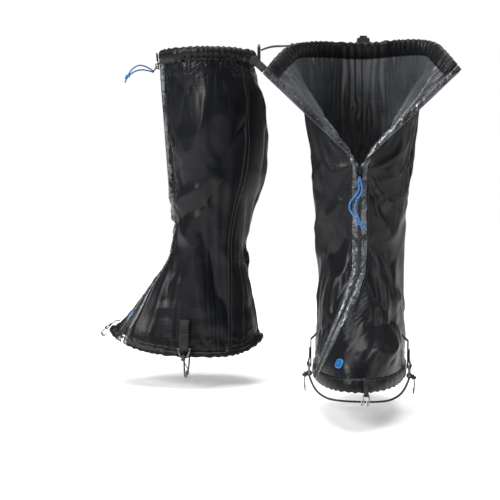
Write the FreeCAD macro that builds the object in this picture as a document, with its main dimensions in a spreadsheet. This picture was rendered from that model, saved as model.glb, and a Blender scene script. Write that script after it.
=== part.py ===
# A pair of hiking gaiters as they sit on two standing legs, in millimetres.
# The right gaiter is closed. The left one is unzipped at the top, so that its collar opens.
# Each gaiter is drawn in its own leg frame: x forwards, y to the wearer's left, z up, with the
# leg's axis at the origin and the ground at z = 0. "Medial" is the side that faces the other leg.
import FreeCAD, Part
import math
import os
import Sketcher

V = FreeCAD.Vector
UP = V(0, 0, 1)

# ---------------------------------------------------------------- driving dimensions

# Where each leg stands: place and heading of its leg frame.
STANCE = {
    "right_x": 0, "right_y": 0, "right_heading": 180,
    "left_x": 186, "left_y": -140, "left_heading": -98,
}
# The leg inside: height of each section, and its reach to the front, to the back and to a side.
# The front of the upper sections lies on one straight line, so it is worked out instead.
SECTIONS = {
    "cuff": (440, None, 57, 54),
    "high_calf": (410, None, 68, 58),
    "calf": (368, None, 83, 62),
    "low_calf": (327, None, 87, 63),
    "shin": (283, None, 83, 59),
    "shin_foot": (262, None, 76, 54),
    "low_shin": (240, 51, 66, 50),
    "ankle": (200, 53, 56, 47),
    "throat": (165, 62, 56, 46),
    "instep": (133, 84, 63, 48),
    "vamp": (100, 108, 67, 50),
    "toe_box": (70, 135, 70, 52),
    "welt": (40, 146, 72, 54),
}
FABRIC = {
    "shin_top_reach": 64, "right_shin_reach": 51.5, "right_shin_low": 262,
    "left_shin_reach": 53, "left_shin_low": 200,
    "right_hem_front": 71, "left_hem_front": 46, "hem_side": 43, "hem_heel": 60,
    "cloth": 0.8, "layer_gap": 0.3, "seam_gap": 0.6,
    "seam_foot_angle": 113, "seam_top_angle": 138,
    "top_hem_depth": 19, "bottom_hem_depth": 13, "hem_cloth": 1.0, "hem_middle_gap": 0.2,
    "right_zip_bend": 178, "left_zip_bend": 168, "zip_bend_ease": 1.15,
    "right_zip_foot_angle": 36, "left_zip_foot_angle": 62,
    "zip_slot": 2.4, "zip_foot_clear": 1.0,
    "tape_width": 6.5, "tape_cloth": 0.6, "chain_width": 4.0, "chain_depth": 1.4,
    "stop_length": 3.0, "stop_width": 5.0,
}
COLLAR = {
    "apex_height": 285, "fold_angle": 52, "still_angle": 150,
    "fold_forward": 20, "fold_aside": 88, "fold_height": 425,
    "corner_forward": 50, "corner_aside": 112, "corner_height": 392,
    "flap_bulge": 7, "flap_root": 0.1, "fold_gap": 1.6, "flap_zip_root": 0.25,
    "flap_chain_top": 0.98, "flap_patch_top": 0.99, "flap_hem_gap": 2.4,
}
HARDWARE = {
    "slider_length": 9, "slider_width": 8, "slider_plate": 1.6, "slider_lift": 0.4,
    "bridge_width": 2.4, "bridge_length": 7, "bridge_height": 3.2, "bridge_bar": 0.8,
    "bridge_slot": 4.6,
    "puller_length": 11, "puller_width": 5.4, "puller_plate": 1.0, "puller_bar": 1.2,
    "puller_arm": 1.1, "puller_clear": 0.4, "puller_window": 4.0,
    "puller_web": 1.8, "puller_eye": 3.0,
    "right_slider_height": "=cuff_height - right_slider_below", "right_slider_below": 17.4,
    "left_slider_below": 4, "right_puller_lift": 38,
    "left_puller_lift": 8,
    "pull_cord_radius": 0.95, "pull_knot_radius": 2.6, "pull_knot_length": 3.4,
    "closure_length": 22, "closure_width": 11, "closure_plate": 1.6, "closure_drop": 1.0,
    "end_rounding": 0.45,
    "closure_gap": 0.6, "closure_lift": 1.7, "patch_length": 11, "patch_width": 10,
    "patch_plate": 0.8,
    "lock_width": 16, "lock_height": 19, "lock_depth": 4.2, "lock_above_hem": 8,
    "button_width": 9, "button_depth": 2.2, "button_height": 9, "button_proud": 2.6,
    "button_play": 0.3, "lock_pocket": 12, "lock_hole_radius": 2.2, "lock_hole_drop": 15.2,
    "spring_radius": 0.95, "spring_wire": 0.35,
    "drawcord_radius": 1.0, "drawcord_clear": 0.6, "drawcord_above_hem": 3.5,
    "drawcord_knot_radius": 3.0, "drawcord_knot_length": 3.6,
    "web_width": 12, "web_plate": 1.4, "web_clear": 1.6, "web_length": 30, "web_eye_wall": 1.2,
    "ring_wire": 2.2, "ring_play": 0.35, "ring_top": 14, "ring_bottom": 8, "ring_height": 13,
    "ring_round": 0.6, "wire_rounding": 0.26, "strap_angle": 76, "strap_height": 84,
    "hook_wire": 1.6, "hook_width": 6.4, "hook_drop": 10, "hook_return": 6, "hook_lip": 4.5,
    "hook_bend": 1.6, "hook_flare": 1.0, "hook_web_length": 14, "hook_web_width": 4.4,
    "hook_above_hem": 11,
    "right_hook_angle": 0, "left_hook_angle": -10,
    "instep_cord_radius": 1.25, "instep_knot_radius": 2.4, "knot_gap": 1.1,
    "emblem_width": 11, "emblem_height": 10, "emblem_plate": 0.7,
    "right_emblem_angle": 6, "left_emblem_angle": 20, "emblem_above_hem": 22,
}

doc = FreeCAD.newDocument("Gaiters")
sheet = doc.addObject("Spreadsheet::Sheet", "Sizes")


def fill_sheet():
    """Writes every driving dimension to the sheet, one alias to a cell."""
    sizes = dict(STANCE)
    for name, (height, front, back, half) in SECTIONS.items():
        sizes[name + "_height"] = height
        sizes[name + "_back"] = back
        sizes[name + "_half"] = half
        if front is not None:
            sizes[name + "_front"] = front
    for group in (FABRIC, COLLAR, HARDWARE):
        sizes.update(group)
    for row, (name, value) in enumerate(sizes.items(), start=1):
        sheet.set("A%d" % row, name)
        sheet.set("B%d" % row, str(value))
        sheet.setAlias("B%d" % row, name)
    doc.recompute()


def size(name):
    return float(sheet.get(name))


# ---------------------------------------------------------------- the two legs


class Leg:
    """One leg: its side, its sections from the ground up and where it stands."""

    def __init__(self, side):
        self.side = side
        self.closed = side == "right"
        self.hand = 1.0 if side == "right" else -1.0
        low = size(side + "_shin_low")
        low_reach = size(side + "_shin_reach")
        lean = (size("shin_top_reach") - low_reach) / (size("cuff_height") - low)
        self.heights = []
        self.reaches = {"front": [], "back": [], "half": []}
        for name, (height, front, back, half) in reversed(SECTIONS.items()):
            height = size(name + "_height")
            on_line = front is None or height >= low
            reach = low_reach + (height - low) * lean if on_line else size(name + "_front")
            self.heights.append(height)
            self.reaches["front"].append(reach)
            self.reaches["back"].append(size(name + "_back"))
            self.reaches["half"].append(size(name + "_half"))
        self.slide = V(-lean, 0, -1).normalize()
        place = V(size(side + "_x"), size(side + "_y"), 0)
        turn = FreeCAD.Rotation(UP, size(side + "_heading"))
        self.placement = FreeCAD.Placement(place, turn)

    def reach(self, way, height):
        """The section size at a height: a cubic through the named sections."""
        heights = self.heights
        values = self.reaches[way]
        last = len(heights) - 2
        span = 0
        while span < last and height > heights[span + 1]:
            span += 1
        low, high = heights[span], heights[span + 1]
        part = (height - low) / (high - low)
        start, end = values[span], values[span + 1]
        rise_in = slope(heights, values, span) * (high - low)
        rise_out = slope(heights, values, span + 1) * (high - low)
        square = part * part
        cube = square * part
        return (start * (2 * cube - 3 * square + 1) + rise_in * (cube - 2 * square + part)
                + end * (3 * square - 2 * cube) + rise_out * (cube - square))


def slope(heights, values, index):
    """The slope of a row of values at one of its heights."""
    before = max(index - 1, 0)
    after = min(index + 1, len(heights) - 1)
    return (values[after] - values[before]) / (heights[after] - heights[before])


def sleeve(leg, angle, height, out):
    """A point of the closed sleeve; the angle runs from the front towards the medial side."""
    turn = math.radians(angle)
    forward = math.cos(turn)
    reach = leg.reach("front" if forward > 0 else "back", height)
    half = leg.reach("half", height)
    return V((reach + out) * forward, (half + out) * math.sin(turn), height)


def hem_height(leg, angle):
    """The height of the lower hem round the foot: raised at the front and at the heel."""
    forward = math.cos(math.radians(angle))
    end = size(leg.side + "_hem_front") if forward > 0 else size("hem_heel")
    return size("hem_side") + (end - size("hem_side")) * abs(forward) ** 3


def level(leg, angle, part):
    """The height at a share of the way from the lower hem to the top hem."""
    low = hem_height(leg, angle)
    return low + (size("cuff_height") - low) * part


def apex_point(leg):
    return sleeve(leg, 0, size("apex_height"), 0)


def fold_point(leg, rise):
    """A point of the straight line that the open collar's flap folds along."""
    end = V(size("fold_forward"), size("fold_aside"), size("fold_height"))
    return apex_point(leg) + (end - apex_point(leg)) * rise


def edge_point(leg, rise):
    """A point of the open collar's zip edge."""
    end = V(size("corner_forward"), size("corner_aside"), size("corner_height"))
    return apex_point(leg) + (end - apex_point(leg)) * rise


def flap_normal(leg):
    """The outward normal of the open flap on the medial side."""
    along = fold_point(leg, 1) - fold_point(leg, 0)
    across = edge_point(leg, 1) - fold_point(leg, 0)
    normal = across.cross(along).normalize()
    return normal if normal.x > 0 else normal * -1


def collar_rise(height):
    return (height - size("apex_height")) / (size("cuff_height") - size("apex_height"))


def flap(leg, across, rise, out):
    """A point of the open flap: across from its fold to its zip edge, rise from the apex up."""
    start = fold_point(leg, rise)
    line = start + (edge_point(leg, rise) - start) * across
    bulge = size("flap_bulge") * math.sin(math.pi * across) * rise
    return line + flap_normal(leg) * (bulge - out)


def cloth(leg, angle, height, out):
    """A point of the worn sleeve, with the collar spread where the gaiter is open."""
    rise = collar_rise(height)
    if leg.closed or rise <= 0:
        return sleeve(leg, angle, height, out)
    angle = (angle + 180) % 360 - 180
    turn = abs(angle)
    fold = size("fold_angle") * rise
    shift = fold_point(leg, rise) - sleeve(leg, fold, height, 0)
    still = size("still_angle")
    fade = min(1.0, max(0.0, (still - turn) / (still - fold))) ** 2
    point = sleeve(leg, turn, height, out) + shift * fade
    return V(point.x, math.copysign(point.y, angle) if turn > 0 else 0, point.z)


def zip_angle(leg, height):
    """The zip runs down the shin's front, then bends towards the medial side."""
    bend = size(leg.side + "_zip_bend")
    if height >= bend:
        return 0.0
    foot = size(leg.side + "_zip_foot_angle")
    drop = (bend - height) / (bend - hem_height(leg, foot))
    return foot * drop ** size("zip_bend_ease")


def angle_step(leg, angle, height, distance):
    """The change of angle that moves a point by a distance round the sleeve."""
    ahead = sleeve(leg, angle + 0.5, height, 0) - sleeve(leg, angle - 0.5, height, 0)
    return distance / ahead.Length


def seam_angle(part):
    foot = size("seam_foot_angle")
    return foot + (size("seam_top_angle") - foot) * part


# ---------------------------------------------------------------- building blocks


def mirrored(leg, point):
    """From medial-is-positive to the leg frame, where the wearer's left is positive."""
    return V(point.x, point.y * leg.hand, point.z)


def add_shape(leg, name, shape):
    """One sub-part whose shape is worked out here."""
    feature = doc.addObject("Part::Feature", name)
    feature.Label = name
    feature.Shape = shape
    feature.Placement = leg.placement
    return feature


def sheet_solid(point, inner, outer, columns, rows):
    """A closed sheet between two offsets of one surface; point takes two shares and an offset."""
    skins = []
    for out in (inner, outer):
        grid = []
        for i in range(columns):
            grid.append([point(i / (columns - 1), j / (rows - 1), out) for j in range(rows)])
        skin = Part.BSplineSurface()
        skin.interpolate(grid)
        skins.append(skin)
    faces = [skin.toShape() for skin in skins]
    for edge in range(4):
        faces.append(ruled_face(border(skins[0], edge), border(skins[1], edge)))
    shell = Part.Shell(faces)
    shell.sewShape()
    solid = Part.Solid(shell)
    if solid.Volume < 0:
        solid.reverse()
    return solid


def ruled_face(first, second):
    """The narrow face between two borders, matched start to start."""
    face = Part.makeRuledSurface(first, second)
    gap = (first.Vertexes[0].Point - second.Vertexes[0].Point).Length
    if face.Area > 3 * gap * first.Length:
        face = Part.makeRuledSurface(first, second.reversed())
    return face


def border(skin, edge):
    first_u, last_u, first_v, last_v = skin.bounds()
    if edge == 0:
        return skin.uIso(first_u).toShape()
    if edge == 1:
        return skin.uIso(last_u).toShape()
    if edge == 2:
        return skin.vIso(first_v).toShape()
    return skin.vIso(last_v).toShape()


def zip_strip(leg, near, far, low, high, inner, outer, rows):
    """A strip beside the zip's centre line, from the near to the far distance."""
    def point(across, up, out):
        height = low + (high - low) * up
        middle = zip_angle(leg, height)
        angle = middle + angle_step(leg, middle, height, near + (far - near) * across)
        return mirrored(leg, sleeve(leg, angle, height, out))
    return sheet_solid(point, inner, outer, 4, rows)


def surface_frame(leg, angle, height, out):
    """A frame on the sleeve: x down it, y across it and z outwards."""
    def at(turn, rise):
        return mirrored(leg, sleeve(leg, turn, rise, out))
    across = at(angle + 1, height) - at(angle - 1, height)
    down = (at(angle, height - 1) - at(angle, height + 1)).normalize()
    normal = down.cross(across * leg.hand * -1).normalize()
    turn = math.radians(angle)
    if normal.dot(V(math.cos(turn), leg.hand * math.sin(turn), 0)) < 0:
        normal = normal * -1
    return FreeCAD.Placement(at(angle, height), frame_rotation(down, normal))


def frame_rotation(x_way, z_way):
    """The rotation that carries x to x_way and z to z_way."""
    y_way = z_way.cross(x_way)
    return FreeCAD.Rotation(x_way, y_way, z_way, "ZXY")


def new_body(leg, name, placement):
    """A PartDesign body placed in the leg frame."""
    body = doc.addObject("PartDesign::Body", name)
    body.Label = name
    body.Placement = leg.placement.multiply(placement)
    return body


def origin_plane(body, role):
    return [plane for plane in body.Origin.OriginFeatures if plane.Role == role][0]


def new_sketch(body, role, name):
    sketch = body.newObject("Sketcher::SketchObject", name)
    sketch.AttachmentSupport = (origin_plane(body, role), [""])
    sketch.MapMode = "FlatFace"
    return sketch


def add_outline(sketch, corners):
    """A closed outline whose corners are pairs of expressions."""
    points = [V(sketch.evalExpression(x), sketch.evalExpression(y), 0) for x, y in corners]
    first = sketch.GeometryCount
    count = len(points)
    for i, point in enumerate(points):
        sketch.addGeometry(Part.LineSegment(point, points[(i + 1) % count]), False)
    for i in range(count):
        following = first + (i + 1) % count
        sketch.addConstraint(Sketcher.Constraint("Coincident", first + i, 2, following, 1))
    for i, (x, y) in enumerate(corners):
        for kind, text, value in (("DistanceX", x, points[i].x), ("DistanceY", y, points[i].y)):
            index = sketch.addConstraint(Sketcher.Constraint(kind, -1, 1, first + i, 1, value))
            sketch.setExpression("Constraints[%d]" % index, text)


def add_circle(sketch, x, y, radius):
    """A circle whose middle and radius are expressions."""
    middle = V(sketch.evalExpression(x), sketch.evalExpression(y), 0)
    wide = sketch.evalExpression(radius)
    ring = sketch.addGeometry(Part.Circle(middle, UP, wide), False)
    rules = (("DistanceX", x, middle.x), ("DistanceY", y, middle.y))
    for kind, text, value in rules:
        index = sketch.addConstraint(Sketcher.Constraint(kind, -1, 1, ring, 3, value))
        sketch.setExpression("Constraints[%d]" % index, text)
    index = sketch.addConstraint(Sketcher.Constraint("Radius", ring, wide))
    sketch.setExpression("Constraints[%d]" % index, radius)


def add_block(sketch, left, right, low, high):
    add_outline(sketch, ((left, low), (right, low), (right, high), (left, high)))


def add_pad(body, sketch, length, symmetric=False):
    pad = body.newObject("PartDesign::Pad", sketch.Name + "_pad")
    pad.Profile = sketch
    pad.setExpression("Length", length)
    if symmetric:
        pad.SideType = "Symmetric"
    sketch.Visibility = False
    return pad


def add_pocket(body, sketch, length, symmetric=False):
    """A pocket, checked to have cut something away."""
    doc.recompute()
    before = body.Shape.Volume
    pocket = body.newObject("PartDesign::Pocket", sketch.Name + "_pocket")
    pocket.Profile = sketch
    pocket.setExpression("Length", length)
    if symmetric:
        pocket.SideType = "Symmetric"
    doc.recompute()
    if body.Shape.Volume > before - 1e-6:
        raise ValueError("the pocket %s cuts nothing" % sketch.Name)
    return pocket


def round_edges(body, base, radius, chosen):
    """Rounds the edges of a feature that the chosen test picks."""
    doc.recompute()
    names = []
    for i, edge in enumerate(base.Shape.Edges, start=1):
        if chosen(edge):
            names.append("Edge%d" % i)
    fillet = body.newObject("PartDesign::Fillet", base.Name + "_round")
    fillet.Base = (base, names)
    fillet.setExpression("Radius", radius)
    return fillet


def upright(edge):
    """True for a straight edge along z."""
    if edge.Curve.TypeId != "Part::GeomLine":
        return False
    return abs(edge.Vertexes[0].Z - edge.Vertexes[-1].Z) > 0.99 * edge.Length


# ---------------------------------------------------------------- cords


def rounded_path(points, radius_at):
    """Straight runs joined by tangent arcs; radius_at gives the arc at each inner point."""
    edges = []
    start = points[0]
    for i in range(1, len(points) - 1):
        back = (points[i - 1] - points[i]).normalize()
        ahead = (points[i + 1] - points[i]).normalize()
        half_turn = (math.pi - back.getAngle(ahead)) / 2
        reach = radius_at(i, half_turn) * math.tan(half_turn)
        enter = points[i] + back * reach
        leave = points[i] + ahead * reach
        towards = (back + ahead).normalize()
        radius = reach / math.tan(half_turn)
        middle = points[i] + towards * (radius / math.cos(half_turn) - radius)
        edges.append(Part.LineSegment(start, enter).toShape())
        edges.append(Part.Arc(enter, middle, leave).toShape())
        start = leave
    edges.append(Part.LineSegment(start, points[-1]).toShape())
    return Part.Wire(edges)


def round_bar(path, radius):
    """A round bar along a path, checked against its section times its length."""
    start = path.Edges[0]
    along = start.tangentAt(start.FirstParameter)
    ring = Part.Wire([Part.makeCircle(radius, start.Vertexes[0].Point, along)])
    bar = path.makePipeShell([ring], True, False, 2)
    expected = math.pi * radius * radius * path.Length
    if abs(bar.Volume - expected) > 0.02 * expected:
        raise ValueError("a bar's volume is %.2f, not %.2f" % (bar.Volume, expected))
    return bar


def cord(name, points, radius):
    """A cord's tube; it prints its length and its smallest bend."""
    radii = []

    def radius_at(i, half_turn):
        shorter = min((points[i] - points[i - 1]).Length, (points[i + 1] - points[i]).Length)
        bend = 0.45 * shorter / math.tan(half_turn)
        radii.append(bend)
        return bend
    path = rounded_path(points, radius_at)
    smallest = min(radii) / (2 * radius)
    print("%s: length %.1f, smallest bend %.1f diameters" % (name, path.Length, smallest))
    return round_bar(path, radius)


def knot(middle, radius, length, along):
    """A pulled-tight knot as a smooth egg along a direction."""
    matrix = FreeCAD.Placement(middle, FreeCAD.Rotation(UP, along)).toMatrix()
    stretch = FreeCAD.Matrix()
    stretch.scale(V(radius, radius, length))
    return Part.makeSphere(1.0).transformGeometry(matrix.multiply(stretch))


def joined(shapes):
    return Part.Compound(shapes) if len(shapes) > 1 else shapes[0]


# ---------------------------------------------------------------- the fabric

# How many points each surface is drawn through, enough for its layers to stay apart.
PANEL_COLUMNS = 33
PANEL_PITCH = 11.0
# How soon the gap at the fold opens above the apex, and how far in a flap's root may start.
FOLD_EASE = 8
ROOT_SHARE_LIMIT = 0.6
HEM_COLUMNS = 33
ZIP_PITCH = 10.0


def rows_for(pitch):
    """The rows of points up the whole sleeve, no further apart than a pitch."""
    return 1 + math.ceil(size("cuff_height") / pitch)


def panel(leg, name, first_angle, last_angle):
    """A sewn panel of cloth between two edges, from the lower hem to the top."""
    def point(across, up, out):
        start = first_angle(up)
        angle = start + (last_angle(up) - start) * across
        return mirrored(leg, cloth(leg, angle, level(leg, angle, up), out))
    return add_shape(leg, name, sheet_solid(point, 0, size("cloth"), PANEL_COLUMNS,
                                           rows_for(PANEL_PITCH)))


def front_angle(leg, up, hand):
    """The angle of a front panel's edge: beside the zip, or beside the open flap's fold."""
    angle = 0.0
    for _ in range(4):
        height = level(leg, angle, up)
        slot = angle_step(leg, zip_angle(leg, height), height, size("zip_slot") / 2)
        angle = zip_angle(leg, height) + hand * slot
        rise = collar_rise(height)
        if not leg.closed and rise > 0:
            gap = angle_step(leg, 0, height, size("fold_gap") / 2)
            angle = hand * (max(slot, size("fold_angle") * rise) + gap * min(1.0, rise * FOLD_EASE))
    return angle


def seam_edge(leg, up, hand, towards):
    """The angle of a panel's edge beside the rear seam."""
    angle = seam_angle(up)
    gap = angle_step(leg, angle, level(leg, angle, up), size("seam_gap") / 2)
    return hand * (angle + towards * gap)


def medial_panel(leg):
    return panel(leg, leg.side + "_medial_panel", lambda up: front_angle(leg, up, 1),
                 lambda up: seam_edge(leg, up, 1, -1))


def lateral_panel(leg):
    return panel(leg, leg.side + "_lateral_panel", lambda up: seam_edge(leg, up, -1, -1),
                 lambda up: front_angle(leg, up, -1))


def rear_panel(leg):
    return panel(leg, leg.side + "_rear_panel", lambda up: seam_edge(leg, up, 1, 1),
                 lambda up: 360 + seam_edge(leg, up, -1, 1))


def over_cloth(layers=1):
    """The offset just over a number of layers of cloth."""
    layer = size("hem_cloth") + size("layer_gap")
    return size("cloth") + size("layer_gap") + (layers - 1) * layer


def hem_band(leg, name, low_height, depth, first_angle, last_angle):
    """A folded hem round the sleeve, outside the panels, as two half bands; the low height goes
    by the angle and the end angles go by the height."""
    def band(start_angle, end_angle):
        def point(across, up, out):
            angle = start_angle(low_height(0)) * (1 - across) + end_angle(low_height(0)) * across
            for _ in range(4):
                height = low_height(angle) + depth * up
                angle = start_angle(height) * (1 - across) + end_angle(height) * across
            return mirrored(leg, cloth(leg, angle, height, out))
        inner = over_cloth()
        return sheet_solid(point, inner, inner + size("hem_cloth"), HEM_COLUMNS, 5)
    middle = 180.0
    gap = size("hem_middle_gap")
    bands = [band(first_angle, lambda height: middle - gap),
             band(lambda height: middle + gap, last_angle)]
    return add_shape(leg, name, joined(bands))


def clear_of_tape(leg, angle, height):
    edge = size("zip_slot") / 2 + size("tape_width") + size("layer_gap") * 2
    return angle_step(leg, angle, height, edge)


def top_hem(leg):
    """The drawcord channel along the top edge."""
    depth = size("top_hem_depth")
    top = size("cuff_height")
    start = clear_of_tape(leg, 0, top)
    if not leg.closed:
        start = size("fold_angle") + angle_step(leg, 0, top, size("fold_gap"))
    return hem_band(leg, leg.side + "_top_hem", lambda angle: top - depth, depth,
                    lambda height: start, lambda height: 360 - start)


def bottom_hem(leg):
    """The lower hem, turned up outside the panels, from one side of the zip to the other."""
    def edge(height, hand):
        angle = zip_angle(leg, height)
        return angle + hand * clear_of_tape(leg, angle, height)
    return hem_band(leg, leg.side + "_bottom_hem", lambda angle: hem_height(leg, angle),
                    size("bottom_hem_depth"), lambda height: edge(height, 1),
                    lambda height: 360 + edge(height, -1))


def zip_low(leg):
    return hem_height(leg, size(leg.side + "_zip_foot_angle")) + size("zip_foot_clear")


def zip_high(leg):
    return size("cuff_height") if leg.closed else size("apex_height")


def zip_tapes(leg):
    """The zip's two tapes, laid over the panels' front edges."""
    near = size("zip_slot") / 2
    far = near + size("tape_width")
    inner = over_cloth()
    outer = inner + size("tape_cloth")
    strips = []
    for hand in (1, -1):
        strips.append(zip_strip(leg, hand * near, hand * far, zip_low(leg), zip_high(leg),
                                inner, outer, rows_for(ZIP_PITCH)))
    return add_shape(leg, leg.side + "_zip_tapes", joined(strips))


def chain_offset():
    return over_cloth() + size("tape_cloth") + size("layer_gap")


def zip_chain(leg):
    """The closed coil between the tapes, with a crimped stop at each closed end."""
    clear = size("zip_foot_clear")
    length = size("stop_length")
    inner = chain_offset()
    outer = inner + size("chain_depth")

    def strip(width, low, high, rows):
        return zip_strip(leg, -width / 2, width / 2, low, high, inner, outer, rows)
    lows = [zip_low(leg) + clear]
    if leg.closed:
        lows.append(zip_high(leg) - clear - length)
    end = length + 2 * clear
    solids = [strip(size("chain_width"), zip_low(leg) + end, zip_high(leg) - end,
                    rows_for(ZIP_PITCH))]
    solids += [strip(size("stop_width"), low, low + length, 4) for low in lows]
    return add_shape(leg, leg.side + "_zip_chain", joined(solids))


# ---------------------------------------------------------------- the open collar's flaps


def flap_gap(leg):
    """The share of a flap's width that its fold gap takes at the top."""
    return size("fold_gap") / (edge_point(leg, 1) - fold_point(leg, 1)).Length


def flap_sheet(leg, hand, from_share, to_share, low_rise, high_rise, inner, outer, rows):
    def point(across, up, out):
        rise = low_rise + (high_rise - low_rise) * up
        start = from_share(rise)
        share = start + (to_share(rise) - start) * across
        spot = flap(leg, share, rise, -out)
        return mirrored(leg, V(spot.x, hand * spot.y, spot.z))
    return sheet_solid(point, inner, outer, 6, rows)


def edge_share(leg, rise, distance):
    """The share across a flap that lies a distance inside its zip edge."""
    width = (edge_point(leg, rise) - fold_point(leg, rise)).Length
    return max(0.0, 1 - distance / width)


def flap_panel(leg, hand, name):
    root = size("flap_root")
    start = flap_gap(leg)

    def fold_side(rise):
        return min(ROOT_SHARE_LIMIT, start / rise)
    return add_shape(leg, name, flap_sheet(leg, hand, fold_side, lambda rise: 1.0, root, 1.0,
                                           0, size("cloth"), 9))


def flap_hem(leg, hand, name):
    """The part of the drawcord channel on a flap."""
    long = (fold_point(leg, 1) - fold_point(leg, 0)).Length
    low = 1 - size("top_hem_depth") / long
    start = flap_gap(leg) * size("flap_hem_gap") / size("fold_gap")
    inner = over_cloth()
    clear = size("tape_width") + size("layer_gap") * 2
    return add_shape(leg, name, flap_sheet(leg, hand, lambda rise: start,
                                           lambda rise: edge_share(leg, rise, clear), low, 1.0,
                                           inner, inner + size("hem_cloth"), 4))


def flap_zip(leg, hand, name):
    """The parted half of the zip along a flap's edge: its tape and its coil."""
    tape = size("tape_width")
    inner = over_cloth()
    outer = inner + size("tape_cloth")
    coil = size("chain_width") / 2
    root = size("flap_zip_root")
    strip = flap_sheet(leg, hand, lambda rise: edge_share(leg, rise, tape), lambda rise: 1.0,
                       root, 1.0, inner, outer, 7)
    chain = flap_sheet(leg, hand, lambda rise: edge_share(leg, rise, coil), lambda rise: 1.0,
                       root, size("flap_chain_top"), chain_offset(),
                       chain_offset() + size("chain_depth"), 7)
    return add_shape(leg, name, joined([strip, chain]))


# ---------------------------------------------------------------- the slider and its pull


def slider_offset():
    return chain_offset() + size("chain_depth") + size("slider_lift")


def slider_height(leg):
    if leg.closed:
        return size("right_slider_height")
    return size("apex_height") - size("left_slider_below")


def slider_frame(leg):
    return surface_frame(leg, 0, slider_height(leg), slider_offset())


def zip_slider(leg):
    """A plate over the coil with a bridge for the puller; x points down the zip."""
    body = new_body(leg, leg.side + "_zip_slider", slider_frame(leg))
    plate = new_sketch(body, "XY_Plane", leg.side + "_slider_plate_outline")
    add_block(plate, "-Sizes.slider_length / 2", "Sizes.slider_length / 2",
              "-Sizes.slider_width / 2", "Sizes.slider_width / 2")
    base = add_pad(body, plate, "Sizes.slider_plate")
    round_edges(body, base, "Sizes.slider_width / 4", upright)
    bridge = new_sketch(body, "XZ_Plane", leg.side + "_slider_bridge_outline")
    top = "Sizes.slider_plate + Sizes.bridge_height"
    add_block(bridge, "-Sizes.bridge_length / 2", "Sizes.bridge_length / 2",
              "Sizes.slider_plate / 2", top)
    add_block(bridge, "-Sizes.bridge_slot / 2", "Sizes.bridge_slot / 2", "Sizes.slider_plate",
              top + " - Sizes.bridge_bar")
    add_pad(body, bridge, "Sizes.bridge_width", symmetric=True)
    return body


def puller_frame(leg):
    """The puller's pin lies in the bridge's slot, and its plate leans away from the sleeve."""
    lift = size("slider_plate") + (size("bridge_height") - size("bridge_bar")) / 2
    pin = FreeCAD.Placement(V(0, 0, lift), FreeCAD.Rotation(V(0, 1, 0),
                            -size(leg.side + "_puller_lift")))
    return slider_frame(leg).multiply(pin)


def zip_puller(leg):
    """A flat puller: a pin bar, two arms beside the bridge, a web and an eye for the cord."""
    body = new_body(leg, leg.side + "_zip_puller", puller_frame(leg))
    outline = new_sketch(body, "XY_Plane", leg.side + "_puller_outline")
    half = "Sizes.puller_width / 2"
    start = "-Sizes.puller_bar / 2"
    add_block(outline, start, start + " + Sizes.puller_length", "-" + half, half)
    window = "Sizes.puller_bar / 2 + Sizes.puller_window"
    beside_bridge = "(Sizes.bridge_width / 2 + Sizes.puller_clear)"
    add_block(outline, "Sizes.puller_bar / 2", window, "-" + beside_bridge, beside_bridge)
    eye = window + " + Sizes.puller_web"
    inside = "(" + half + " - Sizes.puller_arm)"
    add_block(outline, eye, eye + " + Sizes.puller_eye", "-" + inside, inside)
    add_pad(body, outline, "Sizes.puller_plate", symmetric=True)
    return body


def eye_middle(leg):
    """The middle of the puller's eye, in the leg frame."""
    reach = (size("puller_bar") / 2 + size("puller_window") + size("puller_web")
             + size("puller_eye") / 2)
    return puller_frame(leg).multVec(V(reach, 0, 0))


# The pull cord's route beyond the puller's eye, as steps from the eye, and the way in which its
# two strands part.
PULL_ROUTE = {
    "right": (V(3, 4, 0.5), V(10, 14, 3), V(18, 26.5, 1.5), V(25, 37, -4.5), V(27.5, 41, -9)),
    "left": (V(2, 0, -5), V(1.6, -2.2, -12), V(1.2, 1, -19), V(0.6, 7.2, -27), V(1.2, 8.6, -35),
             V(1.6, 4.4, -43), V(2, 0.6, -48.5)),
}
PULL_SPREAD = {"right": V(0, 0, 1), "left": V(0, 1, 0)}
PULL_GAP = {"right": (1.3, 2.6, 3.2, 2.4, 1.3), "left": (1.3, 1.6, 2.4, 3.2, 3.2, 2.2, 1.3)}


def pull_points(leg, hand):
    """One strand of the pull cord, from the eye to the knot."""
    points = []
    for step, gap in zip(PULL_ROUTE[leg.side], PULL_GAP[leg.side]):
        aside = PULL_SPREAD[leg.side] * (hand * gap)
        points.append(eye_middle(leg) + mirrored(leg, step) + aside)
    return points


def pull_cord(leg):
    """The doubled pull cord: two strands from the puller's eye to the knot."""
    name = leg.side + "_pull_cord"
    strands = []
    for hand in (1, -1):
        strands.append(cord(name, pull_points(leg, hand), size("pull_cord_radius")))
    return add_shape(leg, name, joined(strands))


def pull_knot(leg):
    """The knot that ends the pull cord."""
    route = PULL_ROUTE[leg.side]
    along = mirrored(leg, (route[-1] - route[-2])).normalize()
    length = size("pull_knot_length")
    middle = eye_middle(leg) + mirrored(leg, route[-1]) + along * length
    return add_shape(leg, leg.side + "_pull_knot",
                     knot(middle, size("pull_knot_radius"), length, along))


# ---------------------------------------------------------------- the closure tab


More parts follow.
